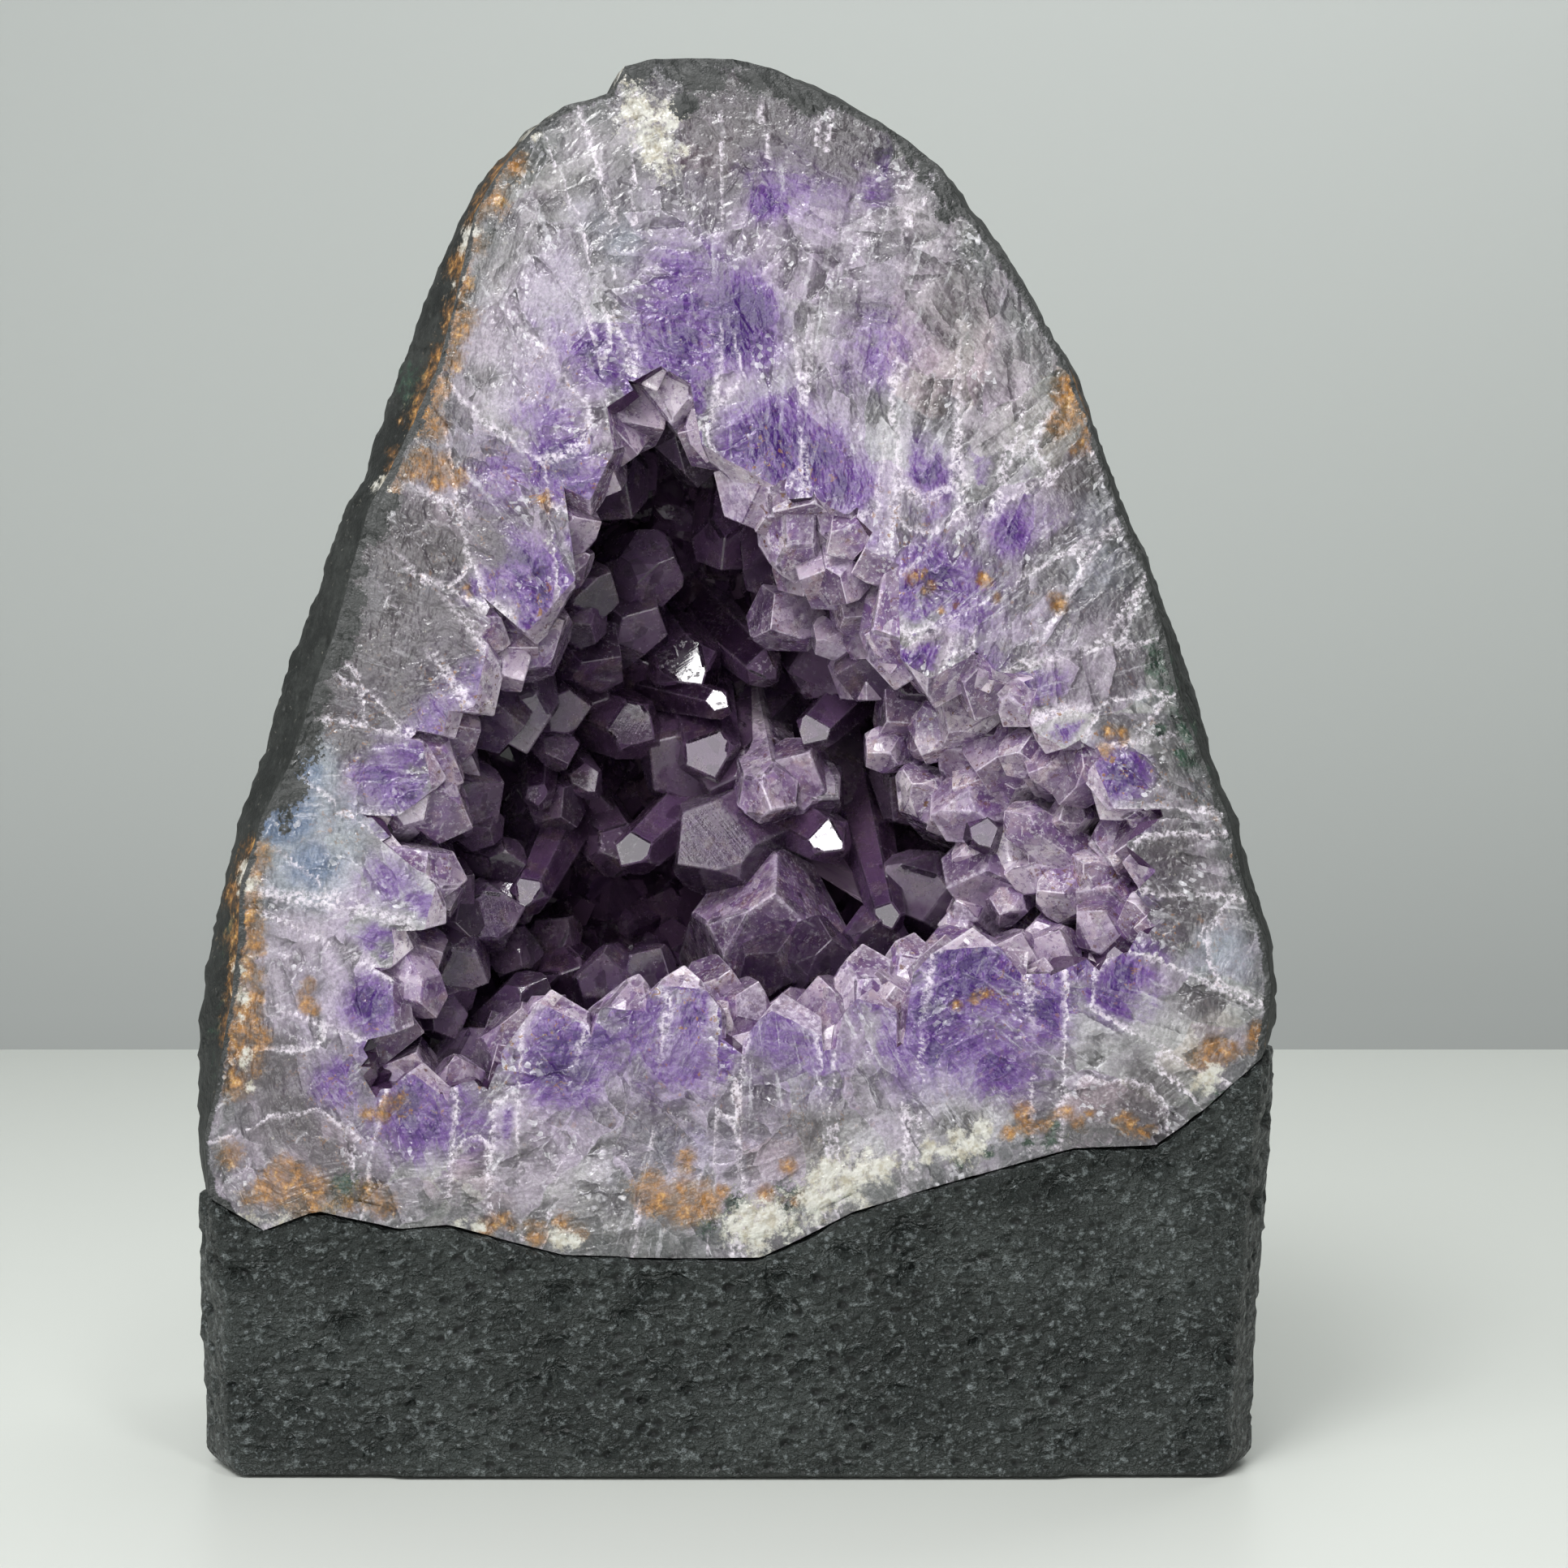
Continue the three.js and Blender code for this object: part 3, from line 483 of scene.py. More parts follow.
def addNode(tree, kind, values=None, **settings):
    node = tree.nodes.new(kind)
    for name, value in settings.items():
        setattr(node, name, value)
    for key, value in (values or {}).items():
        if isinstance(value, bpy.types.NodeSocket):
            tree.links.new(value, node.inputs[key])
        else:
            node.inputs[key].default_value = value
    return node


def maths(tree, operation, first, second=0.0, third=0.0):
    return addNode(tree, "ShaderNodeMath", {0: first, 1: second, 2: third}, operation=operation).outputs[0]


def ramp(tree, value, low, high, start=0.0, end=1.0):
    values = {"Value": value, "From Min": low, "From Max": high, "To Min": start, "To Max": end}
    return addNode(tree, "ShaderNodeMapRange", values, interpolation_type="SMOOTHSTEP").outputs[0]


def blend(tree, factor, first, second, kind="MIX"):
    values = {"Factor": factor, "A": first, "B": second}
    node = tree.nodes.new("ShaderNodeMix")
    node.data_type = "RGBA"
    node.blend_type = kind
    sockets = {"Factor": node.inputs[0], "A": node.inputs[6], "B": node.inputs[7]}
    for key, value in values.items():
        if isinstance(value, bpy.types.NodeSocket):
            tree.links.new(value, sockets[key])
        else:
            sockets[key].default_value = (*value, 1) if isinstance(value, tuple) and len(value) == 3 else value
    return node.outputs[2]


def cloud(tree, vector, scale, detail=3.0, roughness=0.55, distortion=0.0):
    values = {"Vector": vector, "Scale": scale, "Detail": detail, "Roughness": roughness, "Distortion": distortion}
    return addNode(tree, "ShaderNodeTexNoise", values).outputs[0]


def cells(tree, vector, scale, feature="F1", **settings):
    return addNode(tree, "ShaderNodeTexVoronoi", {"Vector": vector, "Scale": scale}, feature=feature, **settings)


def mixIn(tree, base, value, share):
    return maths(tree, "MULTIPLY_ADD", maths(tree, "SUBTRACT", value, 0.5), share, base)


def times(tree, *values):
    result = values[0]
    for value in values[1:]:
        result = maths(tree, "MULTIPLY", result, value)
    return result


def readAttribute(tree, name):
    node = addNode(tree, "ShaderNodeAttribute", attribute_name=name)
    return node.outputs["Vector"], node.outputs["Fac"]


def splitVector(tree, vector):
    return addNode(tree, "ShaderNodeSeparateXYZ", {0: vector}).outputs


def joinVector(tree, x, y, z):
    return addNode(tree, "ShaderNodeCombineXYZ", {0: x, 1: y, 2: z}).outputs[0]


def vectorMaths(tree, operation, first, second=(0, 0, 0), scale=1.0):
    node = addNode(tree, "ShaderNodeVectorMath", {0: first, 1: second}, operation=operation)
    if operation == "SCALE":
        node.inputs["Scale"].default_value = scale
    return node.outputs["Value"] if operation in ("DOT_PRODUCT", "LENGTH") else node.outputs[0]


def newMaterial(name):
    material = bpy.data.materials.new(name)
    material.use_nodes = True
    tree = material.node_tree
    shader = tree.nodes["Principled BSDF"]
    return material, tree, shader


# The sawn quartz, on the wall and on the cut crystals. Its heights are in millimetres.

sawnQuartz = {
    "grain": 0.085,  # crystals, splinters and chips to the millimetre
    "shard": 0.38,
    "chip": 1.8,
    "grey": (0.09, 0.085, 0.093),
    "white": (0.32, 0.31, 0.33),
    "smoke": (0.055, 0.046, 0.053),
    "purple": (0.105, 0.036, 0.205),
    "deepPurple": (0.036, 0.008, 0.10),
    "dark": (0.045, 0.05, 0.05),
    "paint": (0.011, 0.013, 0.0125),
    "rust": (0.30, 0.135, 0.032),
    "ochre": (0.50, 0.28, 0.085),
    "brown": (0.085, 0.045, 0.022),
    "green": (0.02, 0.045, 0.03),
    "chalk": (0.50, 0.49, 0.45),
}


def cellTilt(tree, vector, voronoi, slope):
    # each cell leans its own way: a height for bumps, and also painted light and shade where it is added to the sawn
    # quartz's colour
    apart = vectorMaths(tree, "SUBTRACT", vector, voronoi.outputs["Position"])
    lean = vectorMaths(tree, "SUBTRACT", voronoi.outputs["Color"], (0.5, 0.5, 0.5))
    return maths(tree, "MULTIPLY", vectorMaths(tree, "DOT_PRODUCT", apart, lean), 2 * slope)


def stained(tree, colour, where, masks):
    # iron, celadonite and chalk, each broken up by noise and uneven in itself
    fine = cloud(tree, where, 1.3, 3.0, 0.75)
    mottle = cloud(tree, where, 0.5, 3.0, 0.7)
    look = sawnQuartz
    rust = blend(tree, ramp(tree, mottle, 0.38, 0.6), look["brown"], look["rust"])
    rust = blend(tree, ramp(tree, mottle, 0.56, 0.68), rust, look["ochre"])
    green = blend(tree, ramp(tree, mottle, 0.4, 0.62), (0.008, 0.012, 0.01), look["green"])
    chalk = blend(tree, ramp(tree, mottle, 0.35, 0.6), (0.34, 0.31, 0.24), look["chalk"])
    halo = times(tree, ramp(tree, mixIn(tree, masks[0], fine, 0.7), 0.1, 0.6), 0.85)
    colour = blend(tree, halo, colour, (0.80, 0.56, 0.33), "MULTIPLY")
    for mask, tint, share, solid in ((masks[1], green, 1.6, 0.75), (masks[0], rust, 1.5, 1.15), (masks[2], chalk, 1.8, 0.85)):
        torn = mixIn(tree, mixIn(tree, mask, fine, share), mottle, 0.9)
        colour = blend(tree, ramp(tree, torn, 0.25, solid), colour, tint)
    return colour


def ironDots(tree, colour, where, share):
    # small brown specks and lines of iron, in swarms
    swarm = ramp(tree, cloud(tree, where, 0.07, 2.0), 0.42, 0.56)
    dots = ramp(tree, cloud(tree, where, 0.85, 2.0, 0.6), 0.64, 0.70)
    line = maths(tree, "ABSOLUTE", maths(tree, "SUBTRACT", cloud(tree, where, 0.22, 3.0, 0.6, 0.6), 0.5))
    line = times(tree, ramp(tree, line, 0.012, 0.003), ramp(tree, cloud(tree, where, 0.5, 2.0), 0.5, 0.6))
    dots = maths(tree, "MAXIMUM", dots, line)
    return blend(tree, times(tree, swarm, dots, share, 0.85), colour, (0.17, 0.075, 0.02))


def sawnPattern():
    group = bpy.data.node_groups.new("sawnPattern", "ShaderNodeTree")
    for name, kind in (("Colour", "NodeSocketColor"), ("Roughness", "NodeSocketFloat"), ("Height", "NodeSocketFloat")):
        group.interface.new_socket(name, in_out="OUTPUT", socket_type=kind)
    look = sawnQuartz
    growth, _ = readAttribute(group, "growth")
    purple, blue, dark = splitVector(group, readAttribute(group, "tone")[0])[:3]
    rust, green, chalk = splitVector(group, readAttribute(group, "stain")[0])[:3]
    edgeGap = splitVector(group, readAttribute(group, "sawn")[0])[2]
    inside, behindTip = splitVector(group, readAttribute(group, "cut")[0])[:2]
    cutPurple, cutLight, cutWarm = splitVector(group, readAttribute(group, "cutTone")[0])[:3]
    brimGap, painted, smoky = splitVector(group, readAttribute(group, "brim")[0])[:3]
    along = splitVector(group, growth)
    where = vectorMaths(group, "SCALE", addNode(group, "ShaderNodeTexCoord").outputs["Object"], scale=1000.0)

    # grains grow towards the hollow; splinters and chips lie each grain's own way
    bend = addNode(group, "ShaderNodeTexNoise", {"Vector": where, "Scale": 0.1, "Detail": 2.0}).outputs["Color"]
    bend = vectorMaths(group, "SCALE", vectorMaths(group, "SUBTRACT", bend, (0.5, 0.5, 0.5)), scale=7.0)
    nick = addNode(group, "ShaderNodeTexNoise", {"Vector": where, "Scale": 1.1, "Detail": 3.0}).outputs["Color"]
    nick = vectorMaths(group, "SCALE", vectorMaths(group, "SUBTRACT", nick, (0.5, 0.5, 0.5)), scale=0.7)
    stretched = joinVector(group, along[0], along[1], times(group, along[2], 0.6))
    stretched = vectorMaths(group, "ADD", vectorMaths(group, "ADD", stretched, bend), nick)
    grain = cells(group, stretched, look["grain"])
    grainEdge = cells(group, stretched, look["grain"], "DISTANCE_TO_EDGE").outputs[0]
    grainTint = splitVector(group, grain.outputs["Color"])
    rough = cloud(group, where, 0.9, 2.0, 0.6)
    inside = mixIn(group, inside, rough, 1.6)
    isCut = ramp(group, inside, -0.1, 0.1)
    turned = addNode(group, "ShaderNodeVectorRotate", {"Vector": where, "Angle": times(group, grainTint[2], 20.0)},
                     rotation_type="Y_AXIS").outputs[0]
    turned = vectorMaths(group, "ADD", turned, nick)
    lies = splitVector(group, turned)
    splinter = joinVector(group, lies[0], times(group, lies[2], 0.42), 0.0)
    shard = cells(group, splinter, look["shard"], voronoi_dimensions="2D")
    shardEdge = cells(group, splinter, look["shard"], "DISTANCE_TO_EDGE", voronoi_dimensions="2D").outputs[0]
    shardTint = splitVector(group, shard.outputs["Color"])
    flake = joinVector(group, lies[0], times(group, lies[2], 0.7), 0.0)
    chip = cells(group, flake, look["chip"], voronoi_dimensions="2D")
    chipTint = splitVector(group, chip.outputs["Color"])

    soft = cloud(group, where, 0.045, 3.0)
    patch = cloud(group, where, 0.13, 4.0, 0.6)
    mist = cloud(group, where, 0.3, 4.0, 0.65)
    fine = cloud(group, where, 1.7, 2.0, 0.7)
    fibre = cloud(group, vectorMaths(group, "MULTIPLY", turned, (1.6, 0, 0.16)), 1.0, 3.0, 0.7)
    broken = ramp(group, cloud(group, where, 0.12, 3.0, 0.65), 0.52, 0.64)
    apart = ramp(group, grainEdge, 0.0, 0.03)
    light = mixIn(group, maths(group, "MULTIPLY_ADD", soft, 1.3, -0.15), patch, 0.8)
    light = mixIn(group, light, grainTint[0], 0.16)
    light = mixIn(group, light, shardTint[0], 0.24)
    # painted light and shade: each splinter is coloured lighter towards one side and darker towards the other, as if
    # its tilted face were lit
    light = maths(group, "ADD", light, times(group, cellTilt(group, splinter, shard, 0.2), apart))
    light = mixIn(group, light, mist, 0.7)
    light = mixIn(group, light, fibre, times(group, apart, 0.3))
    light = maths(group, "MULTIPLY_ADD", isCut, times(group, maths(group, "SUBTRACT", cutLight, 0.55), 0.7), light)
    colour = blend(group, ramp(group, light, 0.2, 0.76), look["grey"], look["white"])
    tinted = ramp(group, mixIn(group, grainTint[1], patch, 1.2), 0.0, 0.7)
    colour = blend(group, tinted, colour, (0.90, 0.78, 0.97), "MULTIPLY")
    colour = blend(group, times(group, isCut, maths(group, "MAXIMUM", cutWarm, 0.0)), colour, (0.98, 0.84, 0.74), "MULTIPLY")
    cold = maths(group, "MAXIMUM", times(group, ramp(group, inside, 0.0, 3.0), cutWarm, -0.6), 0.0)
    colour = blend(group, cold, colour, (0.80, 0.90, 1.02), "MULTIPLY")
    outerZone = ramp(group, edgeGap, 16.0, 4.0)
    colour = blend(group, times(group, outerZone, 0.8), colour, (0.95, 0.98, 0.88), "MULTIPLY")

    # violet near the hollow: in each crystal behind its tip, inside a paler skin
    reach = mixIn(group, along[2], grainTint[2], 12.0)
    zone = times(group, ramp(group, reach, 12.0, 2.0), ramp(group, grainEdge, 0.0, 0.16, 0.2, 1.0), 0.75)
    core = times(group, cutPurple, ramp(group, inside, 0.5, 2.6), ramp(group, behindTip, 19.0, 5.0))
    zone = blend(group, isCut, joinVector(group, zone, zone, zone), joinVector(group, core, core, core))
    zone = times(group, splitVector(group, zone)[0], ramp(group, mist, 0.3, 0.6, 0.35, 1.1))
    spot = times(group, purple, ramp(group, mist, 0.28, 0.55, 0.7, 1.3), 1.05)
    violet = times(group, maths(group, "MAXIMUM", zone, spot), ramp(group, shardTint[1], 0.0, 1.0, 0.7, 1.15))
    violet = times(group, violet, ramp(group, fibre, 0.32, 0.62, 0.75, 1.15))
    colour = blend(group, ramp(group, violet, 0.05, 0.7, 0.0, 0.95), colour, look["purple"])
    colour = blend(group, ramp(group, violet, 0.45, 1.0), colour, look["deepPurple"])

    # clear dark quartz next to the rind and in patches
    clear = times(group, ramp(group, edgeGap, 6.0, -1.0), ramp(group, mist, 0.35, 0.6, 0.15, 0.8))
    clear = maths(group, "MAXIMUM", clear, times(group, dark, ramp(group, mist, 0.3, 0.6, 0.4, 0.9)))
    colour = blend(group, clear, colour, look["dark"])
    shade = times(group, ramp(group, patch, 0.36, 0.5, 1.0, 0.0), ramp(group, shardTint[2], 0.3, 0.8))
    colour = blend(group, times(group, shade, 0.25), colour, (0.12, 0.11, 0.125))
    smoke = ramp(group, mixIn(group, mixIn(group, smoky, patch, 0.9), mist, 0.7), 0.15, 0.65)
    colour = blend(group, times(group, smoke, 0.9), colour, look["smoke"])

    # a blue haze, skins and seams of crystals, feathers, cracks and splinters of light
    haze = ramp(group, mixIn(group, mixIn(group, blue, patch, 0.6), mist, 0.4), 0.0, 1.0)
    colour = blend(group, ramp(group, haze, 0.0, 0.5, 0.0, 0.6), colour, (0.25, 0.285, 0.33))
    colour = blend(group, ramp(group, haze, 0.45, 0.95, 0.0, 0.9), colour, (0.07, 0.105, 0.18))
    near = ramp(group, behindTip, 15.0, 6.0)
    skin = times(group, isCut, near, ramp(group, inside, 1.1, 0.2), ramp(group, fine, 0.35, 0.6, 0.1, 0.7))
    colour = blend(group, skin, colour, (0.62, 0.56, 0.63))
    seam = times(group, near, ramp(group, maths(group, "ABSOLUTE", inside), 0.5, 0.0), ramp(group, rough, 0.4, 0.65))
    joint = times(group, ramp(group, grainEdge, 0.03, 0.0), ramp(group, rough, 0.48, 0.66), 0.25)
    radial = joinVector(group, along[0], along[1], times(group, along[2], 0.13))
    feather = cloud(group, vectorMaths(group, "ADD", radial, nick), 0.75, 3.0, 0.68)
    feather = times(group, ramp(group, feather, 0.56, 0.70), ramp(group, patch, 0.60, 0.42), 0.65)
    crack = ramp(group, broken, 0.0, 1.0, 0.15, 0.8)
    crack = times(group, ramp(group, shardEdge, 0.04, 0.0), crack, ramp(group, fine, 0.42, 0.62))
    hair = times(group, ramp(group, fibre, 0.6, 0.7), ramp(group, patch, 0.42, 0.58, 0.0, 0.4), apart)
    # white chips of fractured quartz, partly painted glints
    white = times(group, ramp(group, chipTint[2], 0.89, 0.93), broken, apart)
    crack = maths(group, "MAXIMUM", maths(group, "MAXIMUM", crack, hair), white)
    crack = maths(group, "MAXIMUM", crack, maths(group, "MAXIMUM", times(group, seam, 0.35), joint))
    crack = maths(group, "MAXIMUM", crack, feather)
    crack = times(group, crack, ramp(group, violet, 0.1, 0.9, 1.0, 0.5), ramp(group, smoke, 0.2, 1.0, 1.0, 0.5))
    colour = blend(group, times(group, crack, 0.7), colour, (0.60, 0.585, 0.63))
    colour = ironDots(group, colour, where, ramp(group, along[2], 26.0, 6.0))
    grit = ramp(group, fine, 0.3, 0.7, 0.8, 1.2)
    colour = blend(group, 1.0, colour, joinVector(group, grit, grit, grit), "MULTIPLY")

    colour = stained(group, colour, where, (rust, green, chalk))
    torn = mixIn(group, mixIn(group, brimGap, mist, 3.2), fine, 1.2)
    paint = maths(group, "MAXIMUM", ramp(group, torn, 1.1, 0.7), ramp(group, mixIn(group, painted, fine, 1.3), 0.42, 0.6))
    colour = blend(group, paint, colour, look["paint"])

    facet = times(group, cellTilt(group, splinter, shard, 0.3), ramp(group, shardEdge, 0.0, 0.14), apart)
    height = times(group, facet, ramp(group, broken, 0.0, 1.0, 0.2, 1.0))
    flaked = times(group, cellTilt(group, flake, chip, 0.4), apart, broken)
    height = maths(group, "ADD", height, flaked)
    height = maths(group, "ADD", height, times(group, mist, 0.35))
    coated = maths(group, "MAXIMUM", ramp(group, brimGap, 2.0, 0.4), painted)
    height = maths(group, "ADD", height, times(group, fine, maths(group, "MULTIPLY_ADD", coated, 0.25, 0.08)))
    roughness = maths(group, "ADD", ramp(group, mist, 0.35, 0.7, 0.07, 0.3), times(group, paint, 0.4))
    out = addNode(group, "NodeGroupOutput")
    group.links.new(colour, out.inputs["Colour"])
    group.links.new(roughness, out.inputs["Roughness"])
    group.links.new(height, out.inputs["Height"])
    return group


sawnGroup = sawnPattern()


def quartzMaterial():
    material, tree, shader = newMaterial("milkyQuartz")
    pattern = addNode(tree, "ShaderNodeGroup", node_tree=sawnGroup)
    bump = addNode(tree, "ShaderNodeBump", {"Height": pattern.outputs["Height"], "Strength": 1.0, "Distance": mm})
    sawn, _ = readAttribute(tree, "sawn")
    deep = ramp(tree, splitVector(tree, sawn)[1], 3.0, 18.0)
    colour = blend(tree, deep, pattern.outputs["Colour"], (0.035, 0.02, 0.06))
    tree.links.new(colour, shader.inputs["Base Color"])
    tree.links.new(pattern.outputs["Roughness"], shader.inputs["Roughness"])
    tree.links.new(bump.outputs[0], shader.inputs["Normal"])
    shader.inputs["IOR"].default_value = 1.544
    shader.subsurface_method = "BURLEY"
    shader.inputs["Subsurface Weight"].default_value = 0.6
    shader.inputs["Subsurface Radius"].default_value = (1.0, 0.85, 1.1)
    shader.inputs["Subsurface Scale"].default_value = 0.002
    shader.inputs["Coat Weight"].default_value = 0.25
    shader.inputs["Coat Roughness"].default_value = 0.08
    return material


sawnFace = quartzMaterial()


# The wall: a ring on the sawn face, the hollow's lining and a plain hidden outside

def makeWall():
    print("quartz wall")
    settings = {"faceRings": 68}
    outer, inner = rindInside, wallInside[0]
    rings = [ringPoints(r, b) for r, b in reversed(list(zip(wallOutside, backSteps)))]
    for share in np.linspace(0, 1, settings["faceRings"]):
        rings.append(facePoints(outer + (inner - outer) * share))
    rings += [ringPoints(r, b) for r, b in list(zip(wallInside, backSteps))[1:]]
    outPole = heart + Vector((0, wallOutside[-1].mean(), 0))
    inPole = heart + Vector((0, wallInside[-1].mean(), 0))
    mesh = meshFromRings("quartzWall", rings, outPole, inPole)
    addFaceAttributes(mesh)
    wall = newPiece("quartzWall", mesh)
    wall.data.materials.append(sawnFace)
    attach(wall, "root")
    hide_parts("quartz_wall")
    return wall


makeWall()

# The crystals

amethyst = {
    "lining": 2.6,  # common root layer
    "pointRise": 10,  # how far points stand out of it at the mouth
    "rimGap": 6.2,  # between the crystals that edge the mouth, and the rows of them, in and out from its edge
    "rimRows": ((2.5, 4.0, 0.5), (-3.0, 1.8, 0.8), (-8.0, 1.0, 1.0)),
    "rimSize": (3.0, 6.6),
    "capLean": 38.2,  # quartz: between a prism face's normal and its cap face's
    "mediumGap": 5.0,
    "mediumSize": (1.8, 4.4),
    "smallGap": 2.6,
    "smallSize": (0.8, 2.2),
    "density": 400000,
    "absorption": (0.52, 0.26, 0.80),
    "absorptionDensity": 45.0,
    "transmission": 0.65,
    "paleTransmission": 0.2,
    "paleFrom": 0.35,  # crystals paler than this have the milky finish
}


def crystalMesh(name, half, length, rng, pale=0.0, bevel=0.0, inset=0.0):
    # a six-sided prism with a six-faced cap, its point at 0 and its axis up, every second cap face smaller
    lean = math.radians(amethyst["capLean"])
    planes = [(Vector((0, 0, -1)), length)]
    taper = 0.06
    for i in range(6):
        angle = i * math.pi / 3
        out = Vector((math.cos(angle), math.sin(angle), 0))
        side = Vector((out.x, out.y, taper)).normalized()
        cap = (out * math.cos(lean) + Vector((0, 0, math.sin(lean)))).normalized()
        planes.append((side, half * rng.uniform(0.86, 1.08) - taper * half))
        planes.append((cap, half * rng.uniform(0.1, 0.45) if i % 2 else 0.0))
    points = []
    for a in range(len(planes)):
        for b in range(a + 1, len(planes)):
            across = planes[a][0].cross(planes[b][0])
            for c in range(b + 1, len(planes)):
                share = across.dot(planes[c][0])
                if abs(share) < 1e-6:
                    continue
                point = (
                    planes[b][0].cross(planes[c][0]) * planes[a][1]
                    + planes[c][0].cross(planes[a][0]) * planes[b][1]
                    + across * planes[c][1]
                ) / share
                if all(normal.dot(point) <= reach + 1e-5 for normal, reach in planes):
                    if all((point - other).length > 0.04 * half for other in points):
                        points.append(point)
    work = bmesh.new()
    for point in points:
        work.verts.new(point)
    bmesh.ops.convex_hull(work, input=work.verts)
    bmesh.ops.dissolve_limit(work, angle_limit=math.radians(2), verts=work.verts, edges=work.edges)
    if bevel:
        bmesh.ops.bevel(work, geom=list(work.edges), offset=bevel, segments=1, affect="EDGES", clamp_overlap=True)
    for face in work.faces:
        face.material_index = int(face.calc_area() < (3 * bevel) ** 2 or min(e.calc_length() for e in face.edges) < 1.5 * bevel)
    if inset:
        main = [f for f in work.faces if not f.material_index]
        made = bmesh.ops.inset_individual(work, faces=main, thickness=inset)
        for face in made["faces"]:
            face.material_index = 2
    bmesh.ops.recalc_face_normals(work, faces=work.faces)
    work.verts.index_update()
    inner = {v.index for f in work.faces if f.material_index == 0 for v in f.verts}
    mesh = bpy.data.meshes.new(name)
    work.to_mesh(mesh)
    work.free()
    local = mesh.attributes.new("local", "FLOAT_VECTOR", "CORNER")
    rim = mesh.attributes.new("rim", "FLOAT_VECTOR", "CORNER")
    number = rng.random()
    for face in mesh.polygons:
        for k in face.loop_indices:
            point = mesh.loops[k].vertex_index
            edge = face.material_index == 1 or (face.material_index == 2 and point not in inner)
            local.data[k].vector = mesh.vertices[point].co
            rim.data[k].vector = (float(edge and bevel > 0), number, 1 + pale)
        face.material_index = 0
    return mesh


def placedCrystal(name, tip, turn, half, length, rng, pale, bevel=0.2, inset=0.15):
    along = turn @ Vector((0, 0, 1))
    distance = wallTree.ray_cast(tip, -along)[3]  # the root reaches the wall
    if distance:
        length = max(length, distance / mm + 1)
    mesh = crystalMesh(name, half, length, rng, pale, bevel, min(0.8, inset * half))
    mesh.transform(Matrix.Translation(tip) @ turn.to_matrix().to_4x4() @ Matrix.Scale(mm, 4))
    return bpy.data.objects.new(name, mesh)


def aimedCrystal(name, row, rng, pale, bevel=0.2, inset=0.15):
    x, y, z, aim, lean, half, length = row
    aim, lean = math.radians(aim), math.radians(lean)
    along = Vector((math.cos(aim) * math.cos(lean), -math.sin(lean), math.sin(aim) * math.cos(lean)))
    turn = Vector((0, 0, 1)).rotation_difference(along) @ Quaternion((0, 0, 1), rng.uniform(0, math.pi / 3))
    return placedCrystal(name, place(x, y, z), turn, half, length, rng, pale, bevel, inset)


def mirrorCrystal(name, row, rng):
    # its first cap face is turned half way between the camera and the window
    x, y, z, lies, half, miss = row
    tip = place(x, y, z)
    facing = (place(*studio["eye"]) - tip).normalized() + (place(*studio["window"]) - tip).normalized()
    facing.normalize()
    right = facing.cross(Vector((0, 0, -1))).normalized()
    facing.rotate(Quaternion(right, math.radians(miss)))
    up = facing.cross(right)
    climb = -(right * math.cos(math.radians(lies)) + up * math.sin(math.radians(lies)))
    lean = math.radians(amethyst["capLean"])
    along = facing * math.sin(lean) + climb * math.cos(lean)
    out = (facing - along * math.sin(lean)).normalized()
    turn = Matrix((out, along.cross(out), along)).transposed().to_quaternion()
    return placedCrystal(name, tip, turn, half, 10, rng, 0.0)


def bankRows(rng):
    rows = []
    for line, inward, count, gap, depth, slope, halves, pale in banks:
        inward = math.radians(inward)
        for row in range(count):
            for start, end in zip(line, line[1:]):
                steps = max(1, round(math.dist(start, end) / gap))
                for k in range(steps):
                    share = (k + 0.5 * (row % 2)) / steps
                    offset = (row + 0.6) * gap * 0.9 + rng.uniform(-1.2, 1.2)
                    x = start[0] + (end[0] - start[0]) * share + math.cos(inward) * offset + rng.uniform(-1, 1)
                    z = start[1] + (end[1] - start[1]) * share + math.sin(inward) * offset + rng.uniform(-1, 1)
                    y = depth + offset * slope + rng.uniform(-1.5, 1.5)
                    aim = math.degrees(inward) + rng.uniform(-50, 50)
                    half = halves[0] + (halves[1] - halves[0]) * rng.random() ** 1.5
                    rows.append(((x, y, z, aim, rng.uniform(25, 72), half, 12), pale * rng.uniform(0.5, 1.3)))
    for offset, depth, pale in amethyst["rimRows"]:
        for start, end in zip(openingEdge, openingEdge[1:] + openingEdge[:1]):
            inward = math.atan2(end[1] - start[1], end[0] - start[0]) + math.pi / 2
            steps = max(1, round(math.dist(start, end) / amethyst["rimGap"]))
            for k in range(steps):
                share = (k + rng.random()) / steps
                x = start[0] + (end[0] - start[0]) * share + math.cos(inward) * (offset + rng.uniform(-2, 2))
                z = start[1] + (end[1] - start[1]) * share + math.sin(inward) * (offset + rng.uniform(-2, 2))
                aim = math.degrees(inward) + rng.uniform(-45, 45)
                half = rng.uniform(*amethyst["rimSize"])
                rows.append(((x, depth + rng.uniform(-0.6, 1.5), z, aim, rng.uniform(12, 52), half, 12), pale))
    return rows


def kindCrystal(name, rng):
    # one of the kinds that are scattered: 1 mm from axis to face, rooted at 0
    mesh = crystalMesh(name, 1.0, rng.uniform(2.4, 3.6), rng)
    mesh.transform(Matrix.Scale(mm, 4) @ Matrix.Translation((0, 0, rng.uniform(1.3, 2.0))))
    return bpy.data.objects.new(name, mesh)


def crystalCollection(name, objects):
    collection = bpy.data.collections.new(name)
    for each in objects:
        collection.objects.link(each)
    return collection


def freeRadius(index):
    # the lining's inner surface: thin in the hollow, but at the mouth it fills the room up to the points
    inside = wallInside[index]
    filled = inside - openingRadius - amethyst["pointRise"] * mm
    filled = np.maximum(filled, amethyst["lining"] * mm)
    share = min(1.0, index / 5)
    return inside - (filled * (1 - share) + amethyst["lining"] * mm * share)


